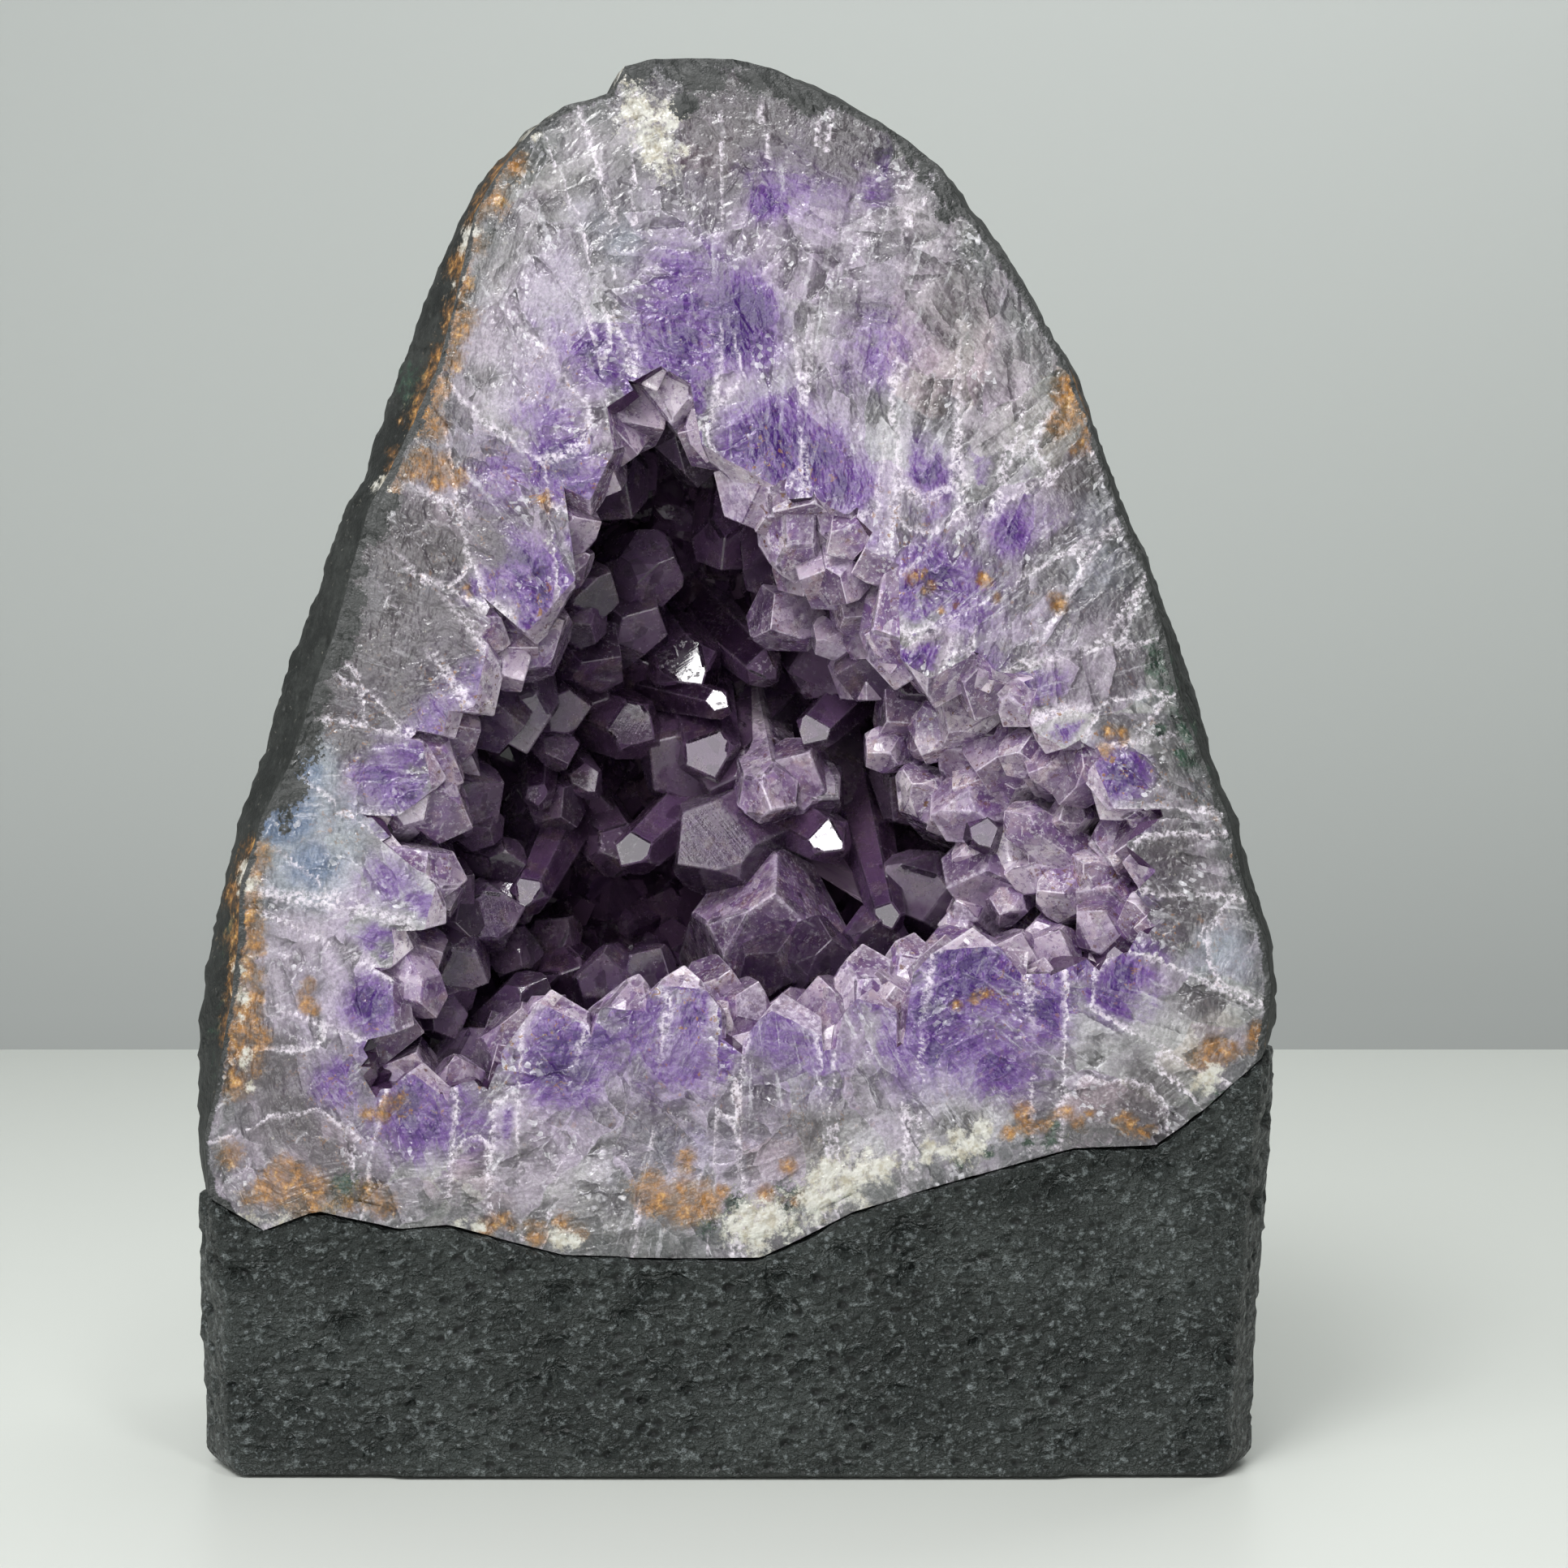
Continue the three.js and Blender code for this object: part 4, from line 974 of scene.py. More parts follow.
def roomMesh():
    # what the crust may fill: the hollow up to the sawn face, a little let into the wall
    rings = []
    for share in (0.04, 0.2, 0.36, *np.linspace(0.46, 1, 56)):
        rings.append(facePoints(wallInside[0] * share))
    for index in range(1, len(backSteps)):
        rings.append(ringPoints(wallInside[index] + 0.4 * mm, backSteps[index]))
    back = heart + Vector((0, wallInside[-1].mean() + 0.4 * mm, 0))
    mesh = meshFromRings("room", rings, Vector((heart.x, faceY, heart.z)), back)
    addFaceAttributes(mesh)
    return mesh


def liningMesh():
    outside = [ringPoints(wallInside[i] + 1.5 * mm, backSteps[i]) for i in range(len(backSteps))]
    inside = [ringPoints(smoothRound(freeRadius(i), 3), backSteps[i]) for i in range(len(backSteps))]
    mouth = [facePoints(wallInside[0] + 1.5 * mm, -4), facePoints(freeRadius(0), -4)]
    outPole = heart + Vector((0, wallInside[-1].mean() + 1.5 * mm, 0))
    inPole = heart + Vector((0, wallInside[-1].mean() - amethyst["lining"] * mm, 0))
    return meshFromRings("lining", [*reversed(outside), *mouth, *inside], outPole, inPole)


def hollowMesh():
    # the surface that the small crystals grow on, facing into the hollow
    rings = [ringPoints(smoothRound(freeRadius(i), 3), backSteps[i]) for i in range(len(backSteps))]
    count = len(rings[0])
    points = np.vstack([np.vstack(rings), heart + Vector((0, wallInside[-1].mean() - amethyst["lining"] * mm, 0))])
    faces = []
    for k in range(len(rings) - 1):
        low, high = k * count, (k + 1) * count
        faces += [(low + i, low + (i + 1) % count, high + (i + 1) % count, high + i) for i in range(count)]
    last = (len(rings) - 1) * count
    faces += [(last + i, last + (i + 1) % count, len(points) - 1) for i in range(count)]
    mesh = bpy.data.meshes.new("hollow")
    mesh.from_pydata(points.tolist(), [], faces)
    centre = heart + Vector((0, 20 * mm, 0))
    first = mesh.polygons[0]
    if first.normal.dot(centre - first.center) < 0:
        mesh.flip_normals()
    return mesh


def growTree():
    # scatters small crystals over the hollow, joins them with the large ones and the lining, and saws them flat
    tree = bpy.data.node_groups.new("growCrystals", "GeometryNodeTree")
    sockets = (
        ("Geometry", "NodeSocketGeometry"), ("Large", "NodeSocketCollection"),
        ("Medium Kinds", "NodeSocketCollection"), ("Small Kinds", "NodeSocketCollection"),
        ("Lining", "NodeSocketObject"), ("Room", "NodeSocketObject"), ("Medium Gap", "NodeSocketFloat"),
        ("Medium Least", "NodeSocketFloat"), ("Medium Most", "NodeSocketFloat"), ("Small Gap", "NodeSocketFloat"),
        ("Small Least", "NodeSocketFloat"), ("Small Most", "NodeSocketFloat"), ("Density", "NodeSocketFloat"),
        ("Seed", "NodeSocketInt"), ("Material", "NodeSocketMaterial"), ("Pale Material", "NodeSocketMaterial"),
        ("Sawn Material", "NodeSocketMaterial"), ("Pale From", "NodeSocketFloat"),
    )
    for name, kind in sockets:
        tree.interface.new_socket(name, in_out="INPUT", socket_type=kind)
    tree.interface.new_socket("Geometry", in_out="OUTPUT", socket_type="NodeSocketGeometry")
    given = addNode(tree, "NodeGroupInput").outputs

    def scatter(kinds, gap, least, most, seedStep):
        seed = addNode(tree, "ShaderNodeMath", {0: given["Seed"], 1: float(seedStep)}, operation="ADD").outputs[0]
        points = addNode(tree, "GeometryNodeDistributePointsOnFaces",
                         {"Mesh": given["Geometry"], "Distance Min": gap, "Density Max": given["Density"], "Seed": seed},
                         distribute_method="POISSON")
        tilt = addNode(tree, "FunctionNodeRandomValue", {"Seed": seed}, data_type="FLOAT_VECTOR")
        tilt.inputs[0].default_value = (-0.5, -0.5, 0)
        tilt.inputs[1].default_value = (0.5, 0.5, 6.28)
        turn = addNode(tree, "FunctionNodeRotateRotation",
                       {"Rotation": points.outputs["Rotation"],
                        "Rotate By": addNode(tree, "FunctionNodeEulerToRotation", {0: tilt.outputs[0]}).outputs[0]},
                       rotation_space="LOCAL")
        size = addNode(tree, "FunctionNodeRandomValue", {"Seed": seed}, data_type="FLOAT")
        tree.links.new(least, size.inputs[2])
        tree.links.new(most, size.inputs[3])
        kinds = addNode(tree, "GeometryNodeCollectionInfo", {"Collection": kinds, "Separate Children": True,
                                                             "Reset Children": True})
        return addNode(tree, "GeometryNodeInstanceOnPoints",
                       {"Points": points.outputs["Points"], "Instance": kinds.outputs[0], "Pick Instance": True,
                        "Rotation": turn.outputs[0], "Scale": size.outputs[1]}).outputs[0]

    medium = scatter(given["Medium Kinds"], given["Medium Gap"], given["Medium Least"], given["Medium Most"], 1)
    small = scatter(given["Small Kinds"], given["Small Gap"], given["Small Least"], given["Small Most"], 2)
    large = addNode(tree, "GeometryNodeCollectionInfo", {"Collection": given["Large"], "Separate Children": True})
    lining = addNode(tree, "GeometryNodeObjectInfo", {"Object": given["Lining"]})
    room = addNode(tree, "GeometryNodeObjectInfo", {"Object": given["Room"]})
    grown = addNode(tree, "GeometryNodeMeshBoolean", operation="UNION", solver="MANIFOLD")
    for part in (medium, small, large.outputs[0], lining.outputs["Geometry"]):
        tree.links.new(part, grown.inputs[1])
    sawn = addNode(tree, "GeometryNodeMeshBoolean", operation="INTERSECT", solver="MANIFOLD")
    tree.links.new(grown.outputs[0], sawn.inputs[1])
    tree.links.new(room.outputs["Geometry"], sawn.inputs[1])
    real = addNode(tree, "GeometryNodeRealizeInstances", {0: sawn.outputs[0]})
    coated = addNode(tree, "GeometryNodeSetMaterial", {"Geometry": real.outputs[0], "Material": given["Material"]})
    for name, part, limit, finish in (("rim", 2, given["Pale From"], "Pale Material"), ("sawn", 0, 0.5, "Sawn Material")):
        field = addNode(tree, "GeometryNodeInputNamedAttribute", {"Name": name}, data_type="FLOAT_VECTOR")
        chosen = addNode(tree, "FunctionNodeCompare", {0: splitVector(tree, field.outputs[0])[part], 1: limit},
                         data_type="FLOAT", operation="GREATER_THAN")
        coated = addNode(tree, "GeometryNodeSetMaterial",
                         {"Geometry": coated.outputs[0], "Selection": chosen.outputs[0], "Material": given[finish]})
    out = addNode(tree, "NodeGroupOutput")
    tree.links.new(coated.outputs[0], out.inputs[0])
    return tree


def amethystMaterial(name, transmission):
    material, tree, shader = newMaterial(name)
    local, _ = readAttribute(tree, "local")
    rim, _ = readAttribute(tree, "rim")
    rimEdge, number, kind = splitVector(tree, rim)[:3]
    isCrystal = maths(tree, "MINIMUM", kind, 1.0)
    pale = maths(tree, "MAXIMUM", maths(tree, "SUBTRACT", kind, 1.0), 0.0)
    below = maths(tree, "MULTIPLY", splitVector(tree, local)[2], -1.0)
    spread = vectorMaths(tree, "ADD", local, joinVector(tree, maths(tree, "MULTIPLY", number, 90.0), 0.0, 0.0))
    inObject = addNode(tree, "ShaderNodeTexCoord").outputs["Object"]
    back = maths(tree, "DIVIDE", maths(tree, "SUBTRACT", splitVector(tree, inObject)[1], faceY), mm)
    deep = ramp(tree, back, 8.0, 34.0)

    mist = cloud(tree, spread, 0.3, 4.0, 0.6)
    sugar = cloud(tree, spread, 1.5, 3.0, 0.7)
    core = times(tree, ramp(tree, below, 0.6, 4.0), ramp(tree, below, 24.0, 12.0), ramp(tree, mist, 0.32, 0.6, 0.3, 1.0))
    flaw = cells(tree, vectorMaths(tree, "MULTIPLY", spread, (1, 1, 0.5)), 0.55)
    flawTint = splitVector(tree, flaw.outputs["Color"])
    # painted light and shade: each face of a crystal is coloured lighter or darker by the way it faces, standing in
    # for reflections and the light inside it
    facing = vectorMaths(tree, "SCALE", addNode(tree, "ShaderNodeNewGeometry").outputs["True Normal"], scale=2.6)
    shift = joinVector(tree, maths(tree, "MULTIPLY", number, 31.0), 0.0, 0.0)
    face = cloud(tree, vectorMaths(tree, "ADD", facing, shift), 1.0, 1.0)
    face = mixIn(tree, face, mist, 0.12)
    glassy = blend(tree, core, (0.15, 0.07, 0.185), (0.075, 0.024, 0.135))
    glassy = blend(tree, ramp(tree, flawTint[0], 0.5, 1.0, 0.0, 0.5), glassy, (0.18, 0.09, 0.22))
    # painted light: crystals deep in the hollow are coloured lighter, making up for the little light that reaches them
    # there
    glassy = blend(tree, times(tree, deep, 0.65), glassy, (0.28, 0.16, 0.27))
    glassy = blend(tree, ramp(tree, mist, 0.52, 0.64, 0.0, 0.5), glassy, (0.17, 0.095, 0.085))
    # painted light and shade on the faces of the clear crystals
    glassy = blend(tree, ramp(tree, face, 0.52, 0.62, 0.0, 0.6), glassy, (0.22, 0.12, 0.27))
    glassy = blend(tree, ramp(tree, face, 0.49, 0.40, 0.0, 0.8), glassy, (0.026, 0.010, 0.034))
    glassy = blend(tree, ramp(tree, flawTint[2], 0.6, 0.95, 0.0, 0.6), glassy, (0.035, 0.014, 0.045))
    milky = blend(tree, core, (0.68, 0.57, 0.63), (0.21, 0.095, 0.34))
    milky = blend(tree, ramp(tree, mist, 0.5, 0.66, 0.0, 0.6), milky, (0.60, 0.43, 0.42))
    milky = blend(tree, ramp(tree, flawTint[0], 0.45, 1.0, 0.0, 0.6), milky, (0.88, 0.80, 0.86))
    milky = blend(tree, ramp(tree, flawTint[1], 0.55, 1.0, 0.0, 0.7), milky, (0.12, 0.065, 0.16))
    # painted light and shade on the faces of the milky crystals
    milky = blend(tree, ramp(tree, face, 0.52, 0.62, 0.0, 0.5), milky, (0.88, 0.80, 0.84))
    milky = blend(tree, ramp(tree, face, 0.49, 0.40, 0.0, 0.6), milky, (0.16, 0.09, 0.20))
    mottle = cloud(tree, spread, 1.1, 3.0, 0.75)
    milky = blend(tree, ramp(tree, mottle, 0.5, 0.36, 0.0, 0.7), milky, (0.13, 0.065, 0.18))
    crackle = cells(tree, vectorMaths(tree, "MULTIPLY", spread, (1, 1, 0.5)), 0.55, "DISTANCE_TO_EDGE").outputs[0]
    veil = times(tree, ramp(tree, crackle, 0.05, 0.0), ramp(tree, sugar, 0.42, 0.6), 0.7)
    veil = maths(tree, "MAXIMUM", veil, ramp(tree, sugar, 0.54, 0.68, 0.0, 0.8))
    milky = blend(tree, veil, milky, (0.82, 0.78, 0.84))
    milky = ironDots(tree, milky, vectorMaths(tree, "SCALE", inObject, scale=1000.0), 1.0)
    glassy = blend(tree, times(tree, veil, ramp(tree, mist, 0.45, 0.6), 0.25), glassy, (0.50, 0.43, 0.54))
    colour = blend(tree, maths(tree, "MULTIPLY_ADD", mist, 0.3, maths(tree, "SUBTRACT", pale, 0.15)), glassy, milky)
    # pale rims along the bevelled edges of the crystals, partly painted highlight
    rimLight = times(tree, rimEdge, ramp(tree, pale, 0.0, 0.8, 0.12, 0.6), ramp(tree, sugar, 0.35, 0.6, 0.3, 1.0))
    colour = blend(tree, rimLight, colour, (0.8, 0.7, 0.85))
    colour = blend(tree, isCrystal, (0.26, 0.16, 0.25), colour)
    tree.links.new(colour, shader.inputs["Base Color"])

    # growth lines across the prism, and a faintly uneven polish
    lines = cloud(tree, joinVector(tree, 0.0, number, splitVector(tree, local)[2]), 3.0, 3.0)
    height = times(tree, lines, ramp(tree, pale, 0.05, 0.5, 0.006, 0.05))
    height = maths(tree, "ADD", height, times(tree, sugar, ramp(tree, pale, 0.1, 0.6, 0.004, 0.1)))
    if transmission < 0.5:
        druse = cellTilt(tree, spread, cells(tree, spread, 0.55), 0.3)
        height = maths(tree, "ADD", height, times(tree, druse, ramp(tree, pale, 0.1, 0.7)))
    bump = addNode(tree, "ShaderNodeBump", {"Height": height, "Strength": 1.0, "Distance": mm})
    tree.links.new(bump.outputs[0], shader.inputs["Normal"])
    etched = times(tree, ramp(tree, sugar, 0.52, 0.58), ramp(tree, mist, 0.48, 0.56))
    tree.links.new(ramp(tree, etched, 0.0, 1.0, 0.03, 0.4), shader.inputs["Roughness"])
    shader.inputs["IOR"].default_value = 1.544
    shader.inputs["Transmission Weight"].default_value = transmission
    shader.subsurface_method = "BURLEY"
    shader.inputs["Subsurface Weight"].default_value = 0.3
    shader.inputs["Subsurface Radius"].default_value = (0.8, 0.5, 1.0)
    shader.inputs["Subsurface Scale"].default_value = 0.0015
    absorb = addNode(tree, "ShaderNodeVolumeAbsorption")
    absorb.inputs["Color"].default_value = (*amethyst["absorption"], 1)
    absorb.inputs["Density"].default_value = amethyst["absorptionDensity"]
    tree.links.new(absorb.outputs[0], tree.nodes["Material Output"].inputs["Volume"])
    return material


def makeCrust():
    print("amethyst crust")
    rng = random.Random(geode["seed"])
    grown = [aimedCrystal(f"edge{k}", row, rng, rng.uniform(0.6, 1)) for k, row in enumerate(edgeCrystals)]
    grown += [aimedCrystal(f"inner{k}", row, rng, pale) for k, (*row, pale) in enumerate(innerCrystals)]
    grown += [aimedCrystal(f"bank{k}", row, rng, pale, 0.14, 0.0) for k, (row, pale) in enumerate(bankRows(rng))]
    grown += [mirrorCrystal(f"mirror{k}", row, rng) for k, row in enumerate(mirrorCrystals)]
    large = crystalCollection("largeCrystals", grown)
    mediumKinds = crystalCollection("mediumKinds", [kindCrystal(f"medium{k}", rng) for k in range(12)])
    smallKinds = crystalCollection("smallKinds", [kindCrystal(f"small{k}", rng) for k in range(8)])
    lining = bpy.data.objects.new("lining", liningMesh())
    room = bpy.data.objects.new("room", roomMesh())
    crust = newPiece("amethystCrust", hollowMesh())
    grow = crust.modifiers.new("grow", "NODES")
    grow.node_group = growTree()
    names = {item.name: item.identifier for item in grow.node_group.interface.items_tree if item.in_out == "INPUT"}
    values = {
        "Large": large, "Medium Kinds": mediumKinds, "Small Kinds": smallKinds, "Lining": lining, "Room": room,
        "Seed": geode["seed"], "Sawn Material": sawnFace,
        "Medium Gap": amethyst["mediumGap"] * mm, "Medium Least": amethyst["mediumSize"][0],
        "Medium Most": amethyst["mediumSize"][1], "Small Gap": amethyst["smallGap"] * mm,
        "Small Least": amethyst["smallSize"][0], "Small Most": amethyst["smallSize"][1],
        "Density": float(amethyst["density"]), "Pale From": 1 + amethyst["paleFrom"],
        "Material": amethystMaterial("amethyst", amethyst["transmission"]),
        "Pale Material": amethystMaterial("paleAmethyst", amethyst["paleTransmission"]),
    }
    for name, value in values.items():
        grow[names[name]] = value
    applyModifiers(crust)
    crust.data.polygons.foreach_set("use_smooth", [False] * len(crust.data.polygons))
    print("crust triangles", sum(len(face.vertices) - 2 for face in crust.data.polygons))
    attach(crust, "root")
    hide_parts("amethyst_crust")
    return crust


makeCrust()

# The rind

rindLook = {
    "paint": (0.005, 0.0065, 0.006),
    "pale": (0.022, 0.025, 0.023),
    "relief": 1.1,
}


def rockBump(tree, vector, strength, distance):
    rough = cloud(tree, vector, 260.0, 4.0, 0.65)
    pits = cells(tree, vector, 420.0).outputs[0]
    height = maths(tree, "ADD", rough, maths(tree, "MULTIPLY", ramp(tree, pits, 0.0, 0.35), 0.4))
    return addNode(tree, "ShaderNodeBump", {"Height": height, "Strength": strength, "Distance": distance})


def rindMaterial():
    material, tree, shader = newMaterial("paintedBasalt")
    where = addNode(tree, "ShaderNodeTexCoord").outputs["Object"]
    stain, _ = readAttribute(tree, "stain")
    rust, green, chalk = splitVector(tree, stain)[:3]
    soft = cloud(tree, where, 60.0, 4.0, 0.7)
    ragged = cloud(tree, where, 420.0, 3.0, 0.7)
    shade = maths(tree, "ADD", soft, maths(tree, "MULTIPLY", maths(tree, "SUBTRACT", ragged, 0.5), 0.7))
    colour = blend(tree, ramp(tree, shade, 0.38, 0.72), rindLook["paint"], rindLook["pale"])
    colour = stained(tree, colour, vectorMaths(tree, "SCALE", where, scale=1000.0), (rust, green, chalk))
    tree.links.new(colour, shader.inputs["Base Color"])
    tree.links.new(ramp(tree, soft, 0.3, 0.7, 0.5, 0.8), shader.inputs["Roughness"])
    tree.links.new(rockBump(tree, where, 1.0, 0.0011).outputs[0], shader.inputs["Normal"])
    return material


def makeRind():
    print("basalt rind")
    back = np.radians(np.concatenate([[0, 0.8, 1.8, 3, 4.5, 6], np.arange(7.5, 89, 1.5)]))
    outer = np.array([castRays(rindTree, b, True) for b in back])
    inner = [castRays(rindTree, b, False) for b in backSteps]
    smooth = outer.copy()
    for _ in range(6):
        smooth = np.array([smoothRound(row, 2) for row in smooth])
        smooth[1:-1] = 0.25 * smooth[:-2] + 0.5 * smooth[1:-1] + 0.25 * smooth[2:]
    share = np.clip(np.degrees(back) / 14, 0, 1)[:, None]
    radius = outer * (1 - share) + smooth * share
    rings = [ringPoints(r, b) for r, b in reversed(list(zip(inner, backSteps)))]
    edgeInner = rindInside
    for step in (0, 0.35, 0.7, 1):
        rings.append(facePoints(edgeInner + (radius[0] - edgeInner) * step))
    rings += [ringPoints(r, b) for r, b in zip(radius[1:], back[1:])]
    outPole = heart + Vector((0, radius[-1].mean(), 0))
    inPole = heart + Vector((0, inner[-1].mean(), 0))
    mesh = meshFromRings("basaltRind", rings, inPole, outPole)
    points = meshPoints(mesh)
    centre = np.array(heart + Vector((0, 0.02, 0)))
    first = len(backSteps) * len(angles)
    for k in range(first + 2 * len(angles), len(points)):
        point = Vector(points[k])
        behind = (point.y - faceY) / mm
        ease = min(1, 0.2 + behind / 14)
        if point.z < 48 * mm:
            ease *= 0.4
        rough = noise.fractal(point * 90, 0.6, 2.1, 5) * 0.6 + noise.fractal(point * 400, 0.7, 2.0, 3) * 0.35
        lump = (noise.fractal(point * 55, 0.7, 2.0, 4) * 1.8 - 0.5) * min(1.0, max(0.0, behind - 6) / 24)
        away = Vector(points[k] - centre).normalized()
        points[k] += np.array(away) * (rough + lump - 0.3) * rindLook["relief"] * mm * ease
    points[:, 1] = np.maximum(points[:, 1], faceY)
    setPoints(mesh, points)
    addFaceAttributes(mesh)
    rind = newPiece("basaltRind", mesh)
    rind.data.polygons.foreach_set("use_smooth", [True] * len(rind.data.polygons))
    rind.data.materials.append(rindMaterial())
    rind.data.materials.append(sawnFace)
    last = first + 4 * len(angles)
    for polygon in rind.data.polygons:
        polygon.material_index = int(all(first <= k < last for k in polygon.vertices))
        polygon.use_smooth = not polygon.material_index
    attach(rind, "root")
    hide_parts("basalt_rind")
    return rind


makeRind()

# The cement block

cement = {
    "grain": 1.1,  # mesh size
    "relief": 0.3,
    "pits": 900,
    "pitSize": (0.6, 1.5),
    "paint": (0.0135, 0.018, 0.0165),
    "worn": (0.040, 0.048, 0.045),
}


def cementMaterial():
    material, tree, shader = newMaterial("paintedCement")
    where = addNode(tree, "ShaderNodeTexCoord").outputs["Object"]
    parts = splitVector(tree, where)
    flat = joinVector(tree, parts[0], parts[1], maths(tree, "MULTIPLY", parts[2], 1.35))
    soft = cloud(tree, flat, 60.0, 5.0, 0.6)
    grain = cloud(tree, flat, 620.0, 3.0, 0.7)
    colour = blend(tree, ramp(tree, soft, 0.35, 0.7), cement["paint"], cement["worn"])
    # painted highlight: where the grain stands highest it is coloured lighter, as if its tops caught the light
    colour = blend(tree, ramp(tree, grain, 0.52, 0.68, 0.0, 0.9), colour, (0.15, 0.17, 0.17))
    # painted shade: small pits are coloured near black, as if shaded inside, and are also sunk in the bump
    holes = cells(tree, flat, 340.0)
    shadedPit = times(tree, ramp(tree, holes.outputs[0], 0.35, 0.1),
                 ramp(tree, splitVector(tree, holes.outputs["Color"])[1], 0.7, 0.75))
    colour = blend(tree, times(tree, shadedPit, 0.8), colour, (0.004, 0.005, 0.005))
    # painted glints: light spots where tiny lumps of the cement would catch the light
    for scale, share, strength in ((700.0, 0.86, 0.5), (1300.0, 0.72, 0.4)):
        glintCell = cells(tree, where, scale)
        paintedGlint = times(tree, ramp(tree, glintCell.outputs[0], 0.34, 0.14), strength,
                       ramp(tree, splitVector(tree, glintCell.outputs["Color"])[0], share, share + 0.02))
        colour = blend(tree, paintedGlint, colour, (0.26, 0.29, 0.30))
    tree.links.new(colour, shader.inputs["Base Color"])
    tree.links.new(ramp(tree, grain, 0.35, 0.7, 0.55, 0.32), shader.inputs["Roughness"])
    lumps = cells(tree, vectorMaths(tree, "ADD", flat, joinVector(tree, times(tree, grain, 0.0015), 0.0, 0.0)), 620.0)
    lump = times(tree, ramp(tree, lumps.outputs[0], 0.6, 0.0), splitVector(tree, lumps.outputs["Color"])[2])
    height = maths(tree, "SUBTRACT", grain, maths(tree, "MULTIPLY", shadedPit, 0.8))
    height = maths(tree, "ADD", height, times(tree, lump, 0.6))
    height = maths(tree, "ADD", height, maths(tree, "MULTIPLY", cloud(tree, where, 1500.0, 3.0), 0.35))
    bump = addNode(tree, "ShaderNodeBump", {"Height": height, "Strength": 1.0, "Distance": 0.0034})
    tree.links.new(bump.outputs[0], shader.inputs["Normal"])
    return material


def makeCement():
    print("cement base")
    block = newPiece("cementBlock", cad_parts["cement_base"].data.copy())
    work = bmesh.new()
    work.from_mesh(block.data)
    bmesh.ops.remove_doubles(work, verts=work.verts, dist=1e-5)
    work.to_mesh(block.data)
    work.free()
    remesh = block.modifiers.new("remesh", "REMESH")
    remesh.mode = "VOXEL"
    remesh.voxel_size = cement["grain"] * mm
    soften = block.modifiers.new("soften", "SMOOTH")
    soften.iterations = 4
    applyModifiers(block)
    rng = random.Random(3)
    mesh = block.data
    points = meshPoints(mesh)
    normals = np.empty(len(mesh.vertices) * 3)
    mesh.vertices.foreach_get("normal", normals)
    normals = normals.reshape(-1, 3)
    push = np.zeros(len(points))
    for k, point in enumerate(points):
        at = Vector((point[0], point[1], point[2] * 2.2))
        push[k] = noise.fractal(at * 160, 0.5, 2.1, 4) * cement["relief"] + noise.fractal(at * 45, 0.8, 2, 2) * 0.3
    sides = np.where((np.abs(normals[:, 2]) < 0.5) & (points[:, 2] > 0.003))[0]
    for _ in range(cement["pits"]):
        centre = points[rng.choice(sides)]
        size = rng.uniform(*cement["pitSize"]) * (2.2 if rng.random() < 0.06 else 1)
        offset = (points - centre) / mm
        offset[:, 2] *= 1.5
        reach = np.linalg.norm(offset, axis=1)
        push -= size * 0.7 * np.clip(1 - (reach / size) ** 2, 0, 1)
    under = points[:, 2] < 1.2 * mm
    push[under] = 0
    points += normals * (push * mm)[:, None]
    points[:, 2] = np.maximum(points[:, 2], 0)
    setPoints(mesh, points)
    mesh.polygons.foreach_set("use_smooth", [True] * len(mesh.polygons))
    mesh.materials.clear()
    mesh.materials.append(cementMaterial())
    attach(block, "root")
    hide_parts("cement_base")
    return block


makeCement()

# Table, backdrop, light and camera


def stageMaterial(name, colour, roughness):
    material, _, shader = newMaterial(name)
    shader.inputs["Base Color"].default_value = (*colour, 1)
    shader.inputs["Roughness"].default_value = roughness
    return material


def softLight(name, at, size, power, aim):
    lamp = bpy.data.lights.new(name, "AREA")
    lamp.shape = "RECTANGLE"
    lamp.size, lamp.size_y = size
    lamp.energy = power
    light = bpy.data.objects.new(name, lamp)
    light.location = at
    light.rotation_euler = (Vector(aim) - Vector(at)).to_track_quat("-Z", "Y").to_euler()
    bpy.context.scene.collection.objects.link(light)
    return light


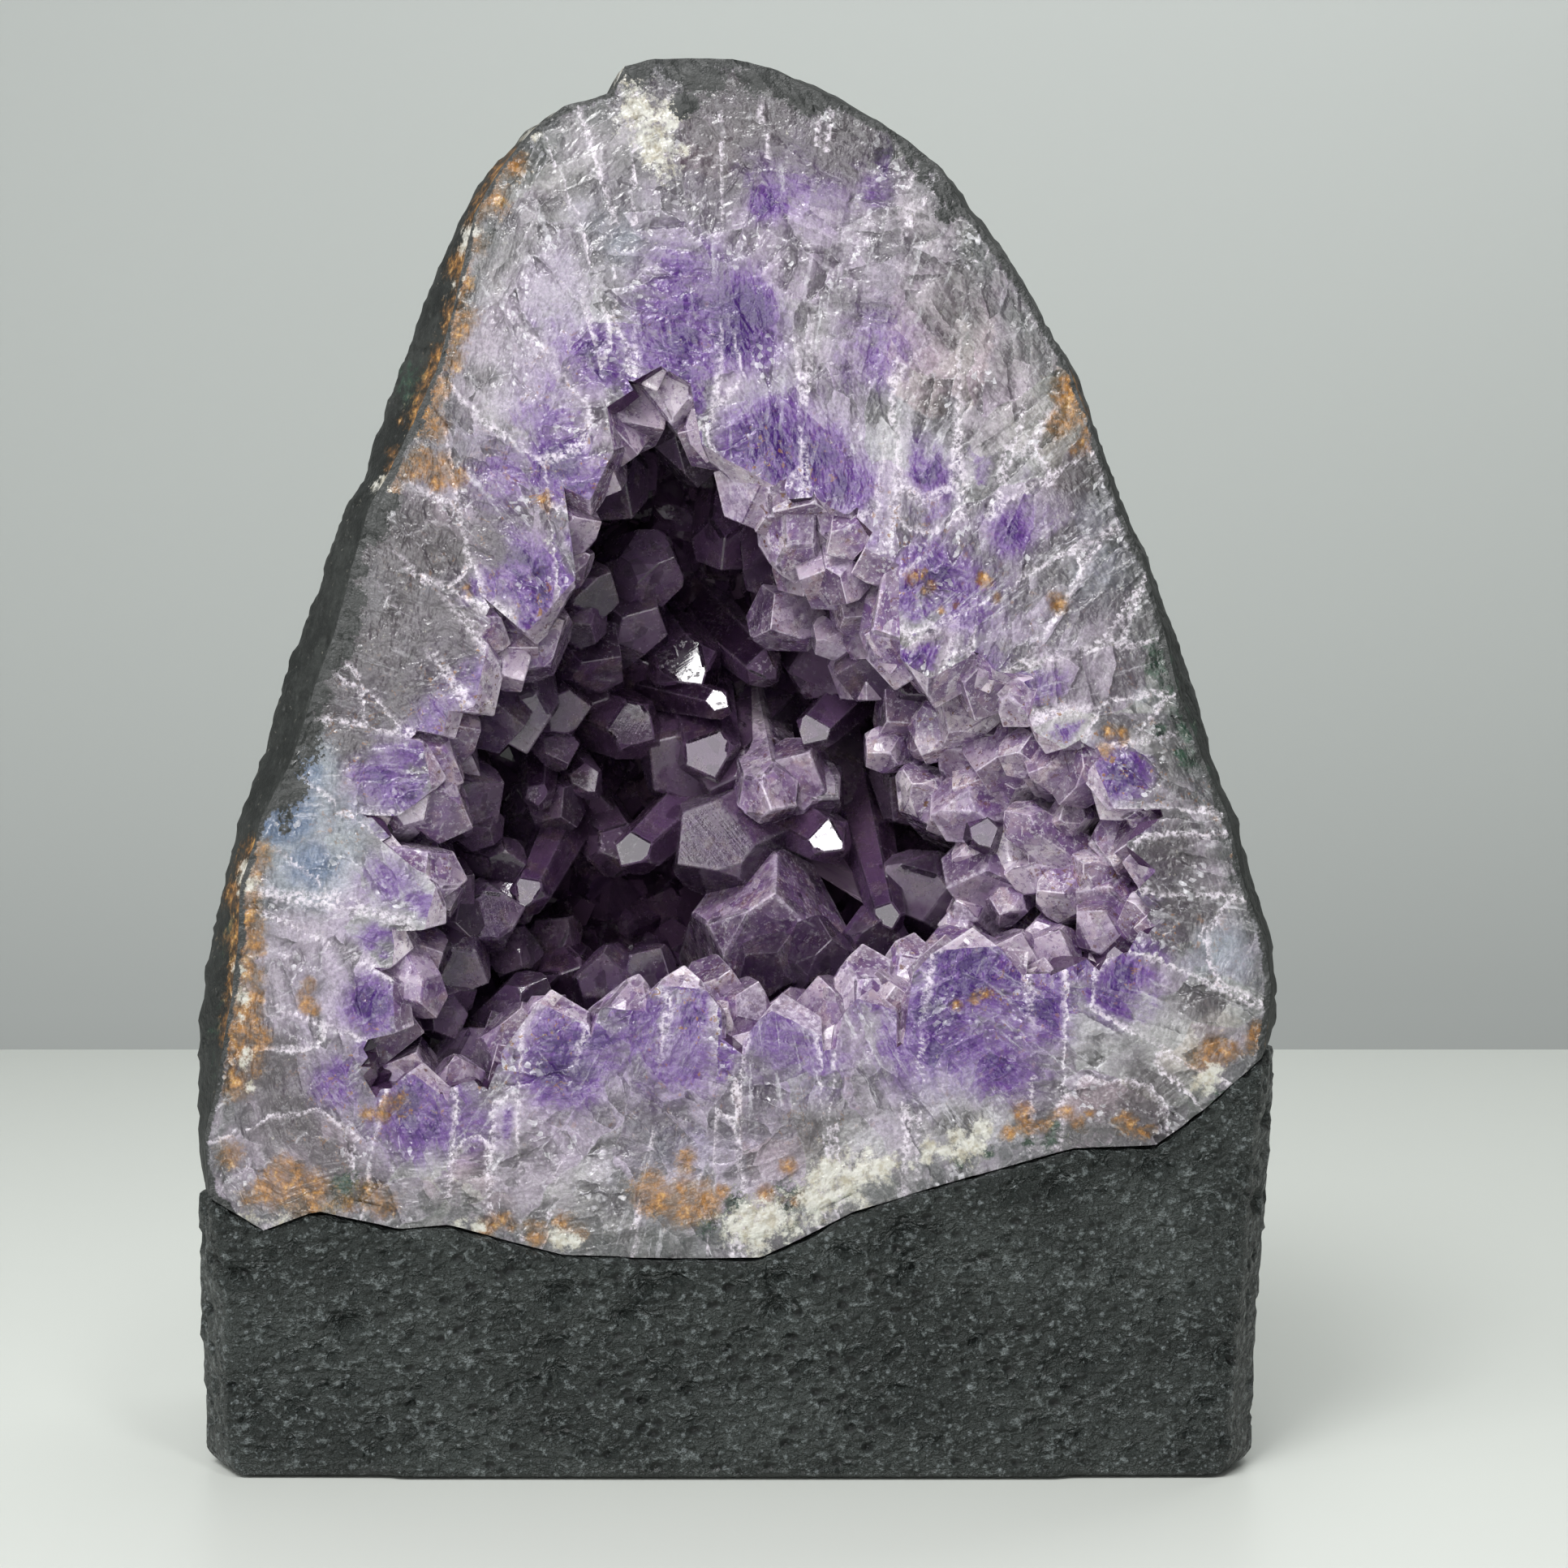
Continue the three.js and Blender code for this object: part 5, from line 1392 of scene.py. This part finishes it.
def makeStudio():
    print("table, light and camera")
    table = bpy.data.meshes.new("table")
    far = studio["tableEnd"]
    table.from_pydata([(-2, -1, -0.0004), (2, -1, -0.0004), (2, far, -0.0004), (-2, far, -0.0004)], [], [(0, 1, 2, 3)])
    table = newPiece("table", table)
    table.data.materials.append(stageMaterial("tableTop", studio["tableColour"], 0.4))
    wall = bpy.data.meshes.new("backdrop")
    wall.from_pydata([(-3, far + 0.2, -0.6), (3, far + 0.2, -0.6), (3, far + 0.2, 2.2), (-3, far + 0.2, 2.2)], [],
                     [(0, 1, 2, 3)])
    wall = newPiece("backdrop", wall)
    wall.data.materials.append(stageMaterial("backdropPaint", studio["wallColour"], 0.8))
    world = bpy.data.worlds.new("studioWorld")
    bpy.context.scene.world = world
    world.use_nodes = True
    world.node_tree.nodes["Background"].inputs[0].default_value = (0.92, 0.97, 0.95, 1)
    world.node_tree.nodes["Background"].inputs[1].default_value = studio["sky"]
    bpy.context.scene.view_settings.view_transform = "Standard"
    middle = (0, 0, 0.1)
    window = place(*studio["window"])
    softLight("windowLight", window, (0.9, 0.6), 8.2, middle)
    softLight("windowCore", window * 0.97, (0.26, 0.26), 4.5, middle)
    softLight("frontLight", (-0.15, -0.95, 0.2), (0.5, 0.5), 2.6, middle)
    softLight("lampLight", (0.25, -0.6, 0.9), (0.12, 0.25), 1.8, middle)
    softLight("leftLight", (-0.9, -0.3, 0.3), (0.3, 0.5), 0.9, middle)
    softLight("rightLight", (0.9, -0.3, 0.4), (0.3, 0.5), 0.25, middle)
    softLight("backLight", (0.3, 0.35, 0.9), (1.0, 0.4), 3.3, (0, 0.8, 0.2))
    camera = bpy.data.cameras.new("camera")
    camera.sensor_fit = "HORIZONTAL"
    camera.angle = 2 * math.atan(studio["frameWidth"] / 2 / -studio["eye"][1])
    camera.clip_start = 0.01
    eye = bpy.data.objects.new("camera", camera)
    eye.location = place(*studio["eye"])
    eye.rotation_euler = (math.pi / 2, 0, 0)
    bpy.context.scene.collection.objects.link(eye)
    bpy.context.scene.camera = eye


makeStudio()
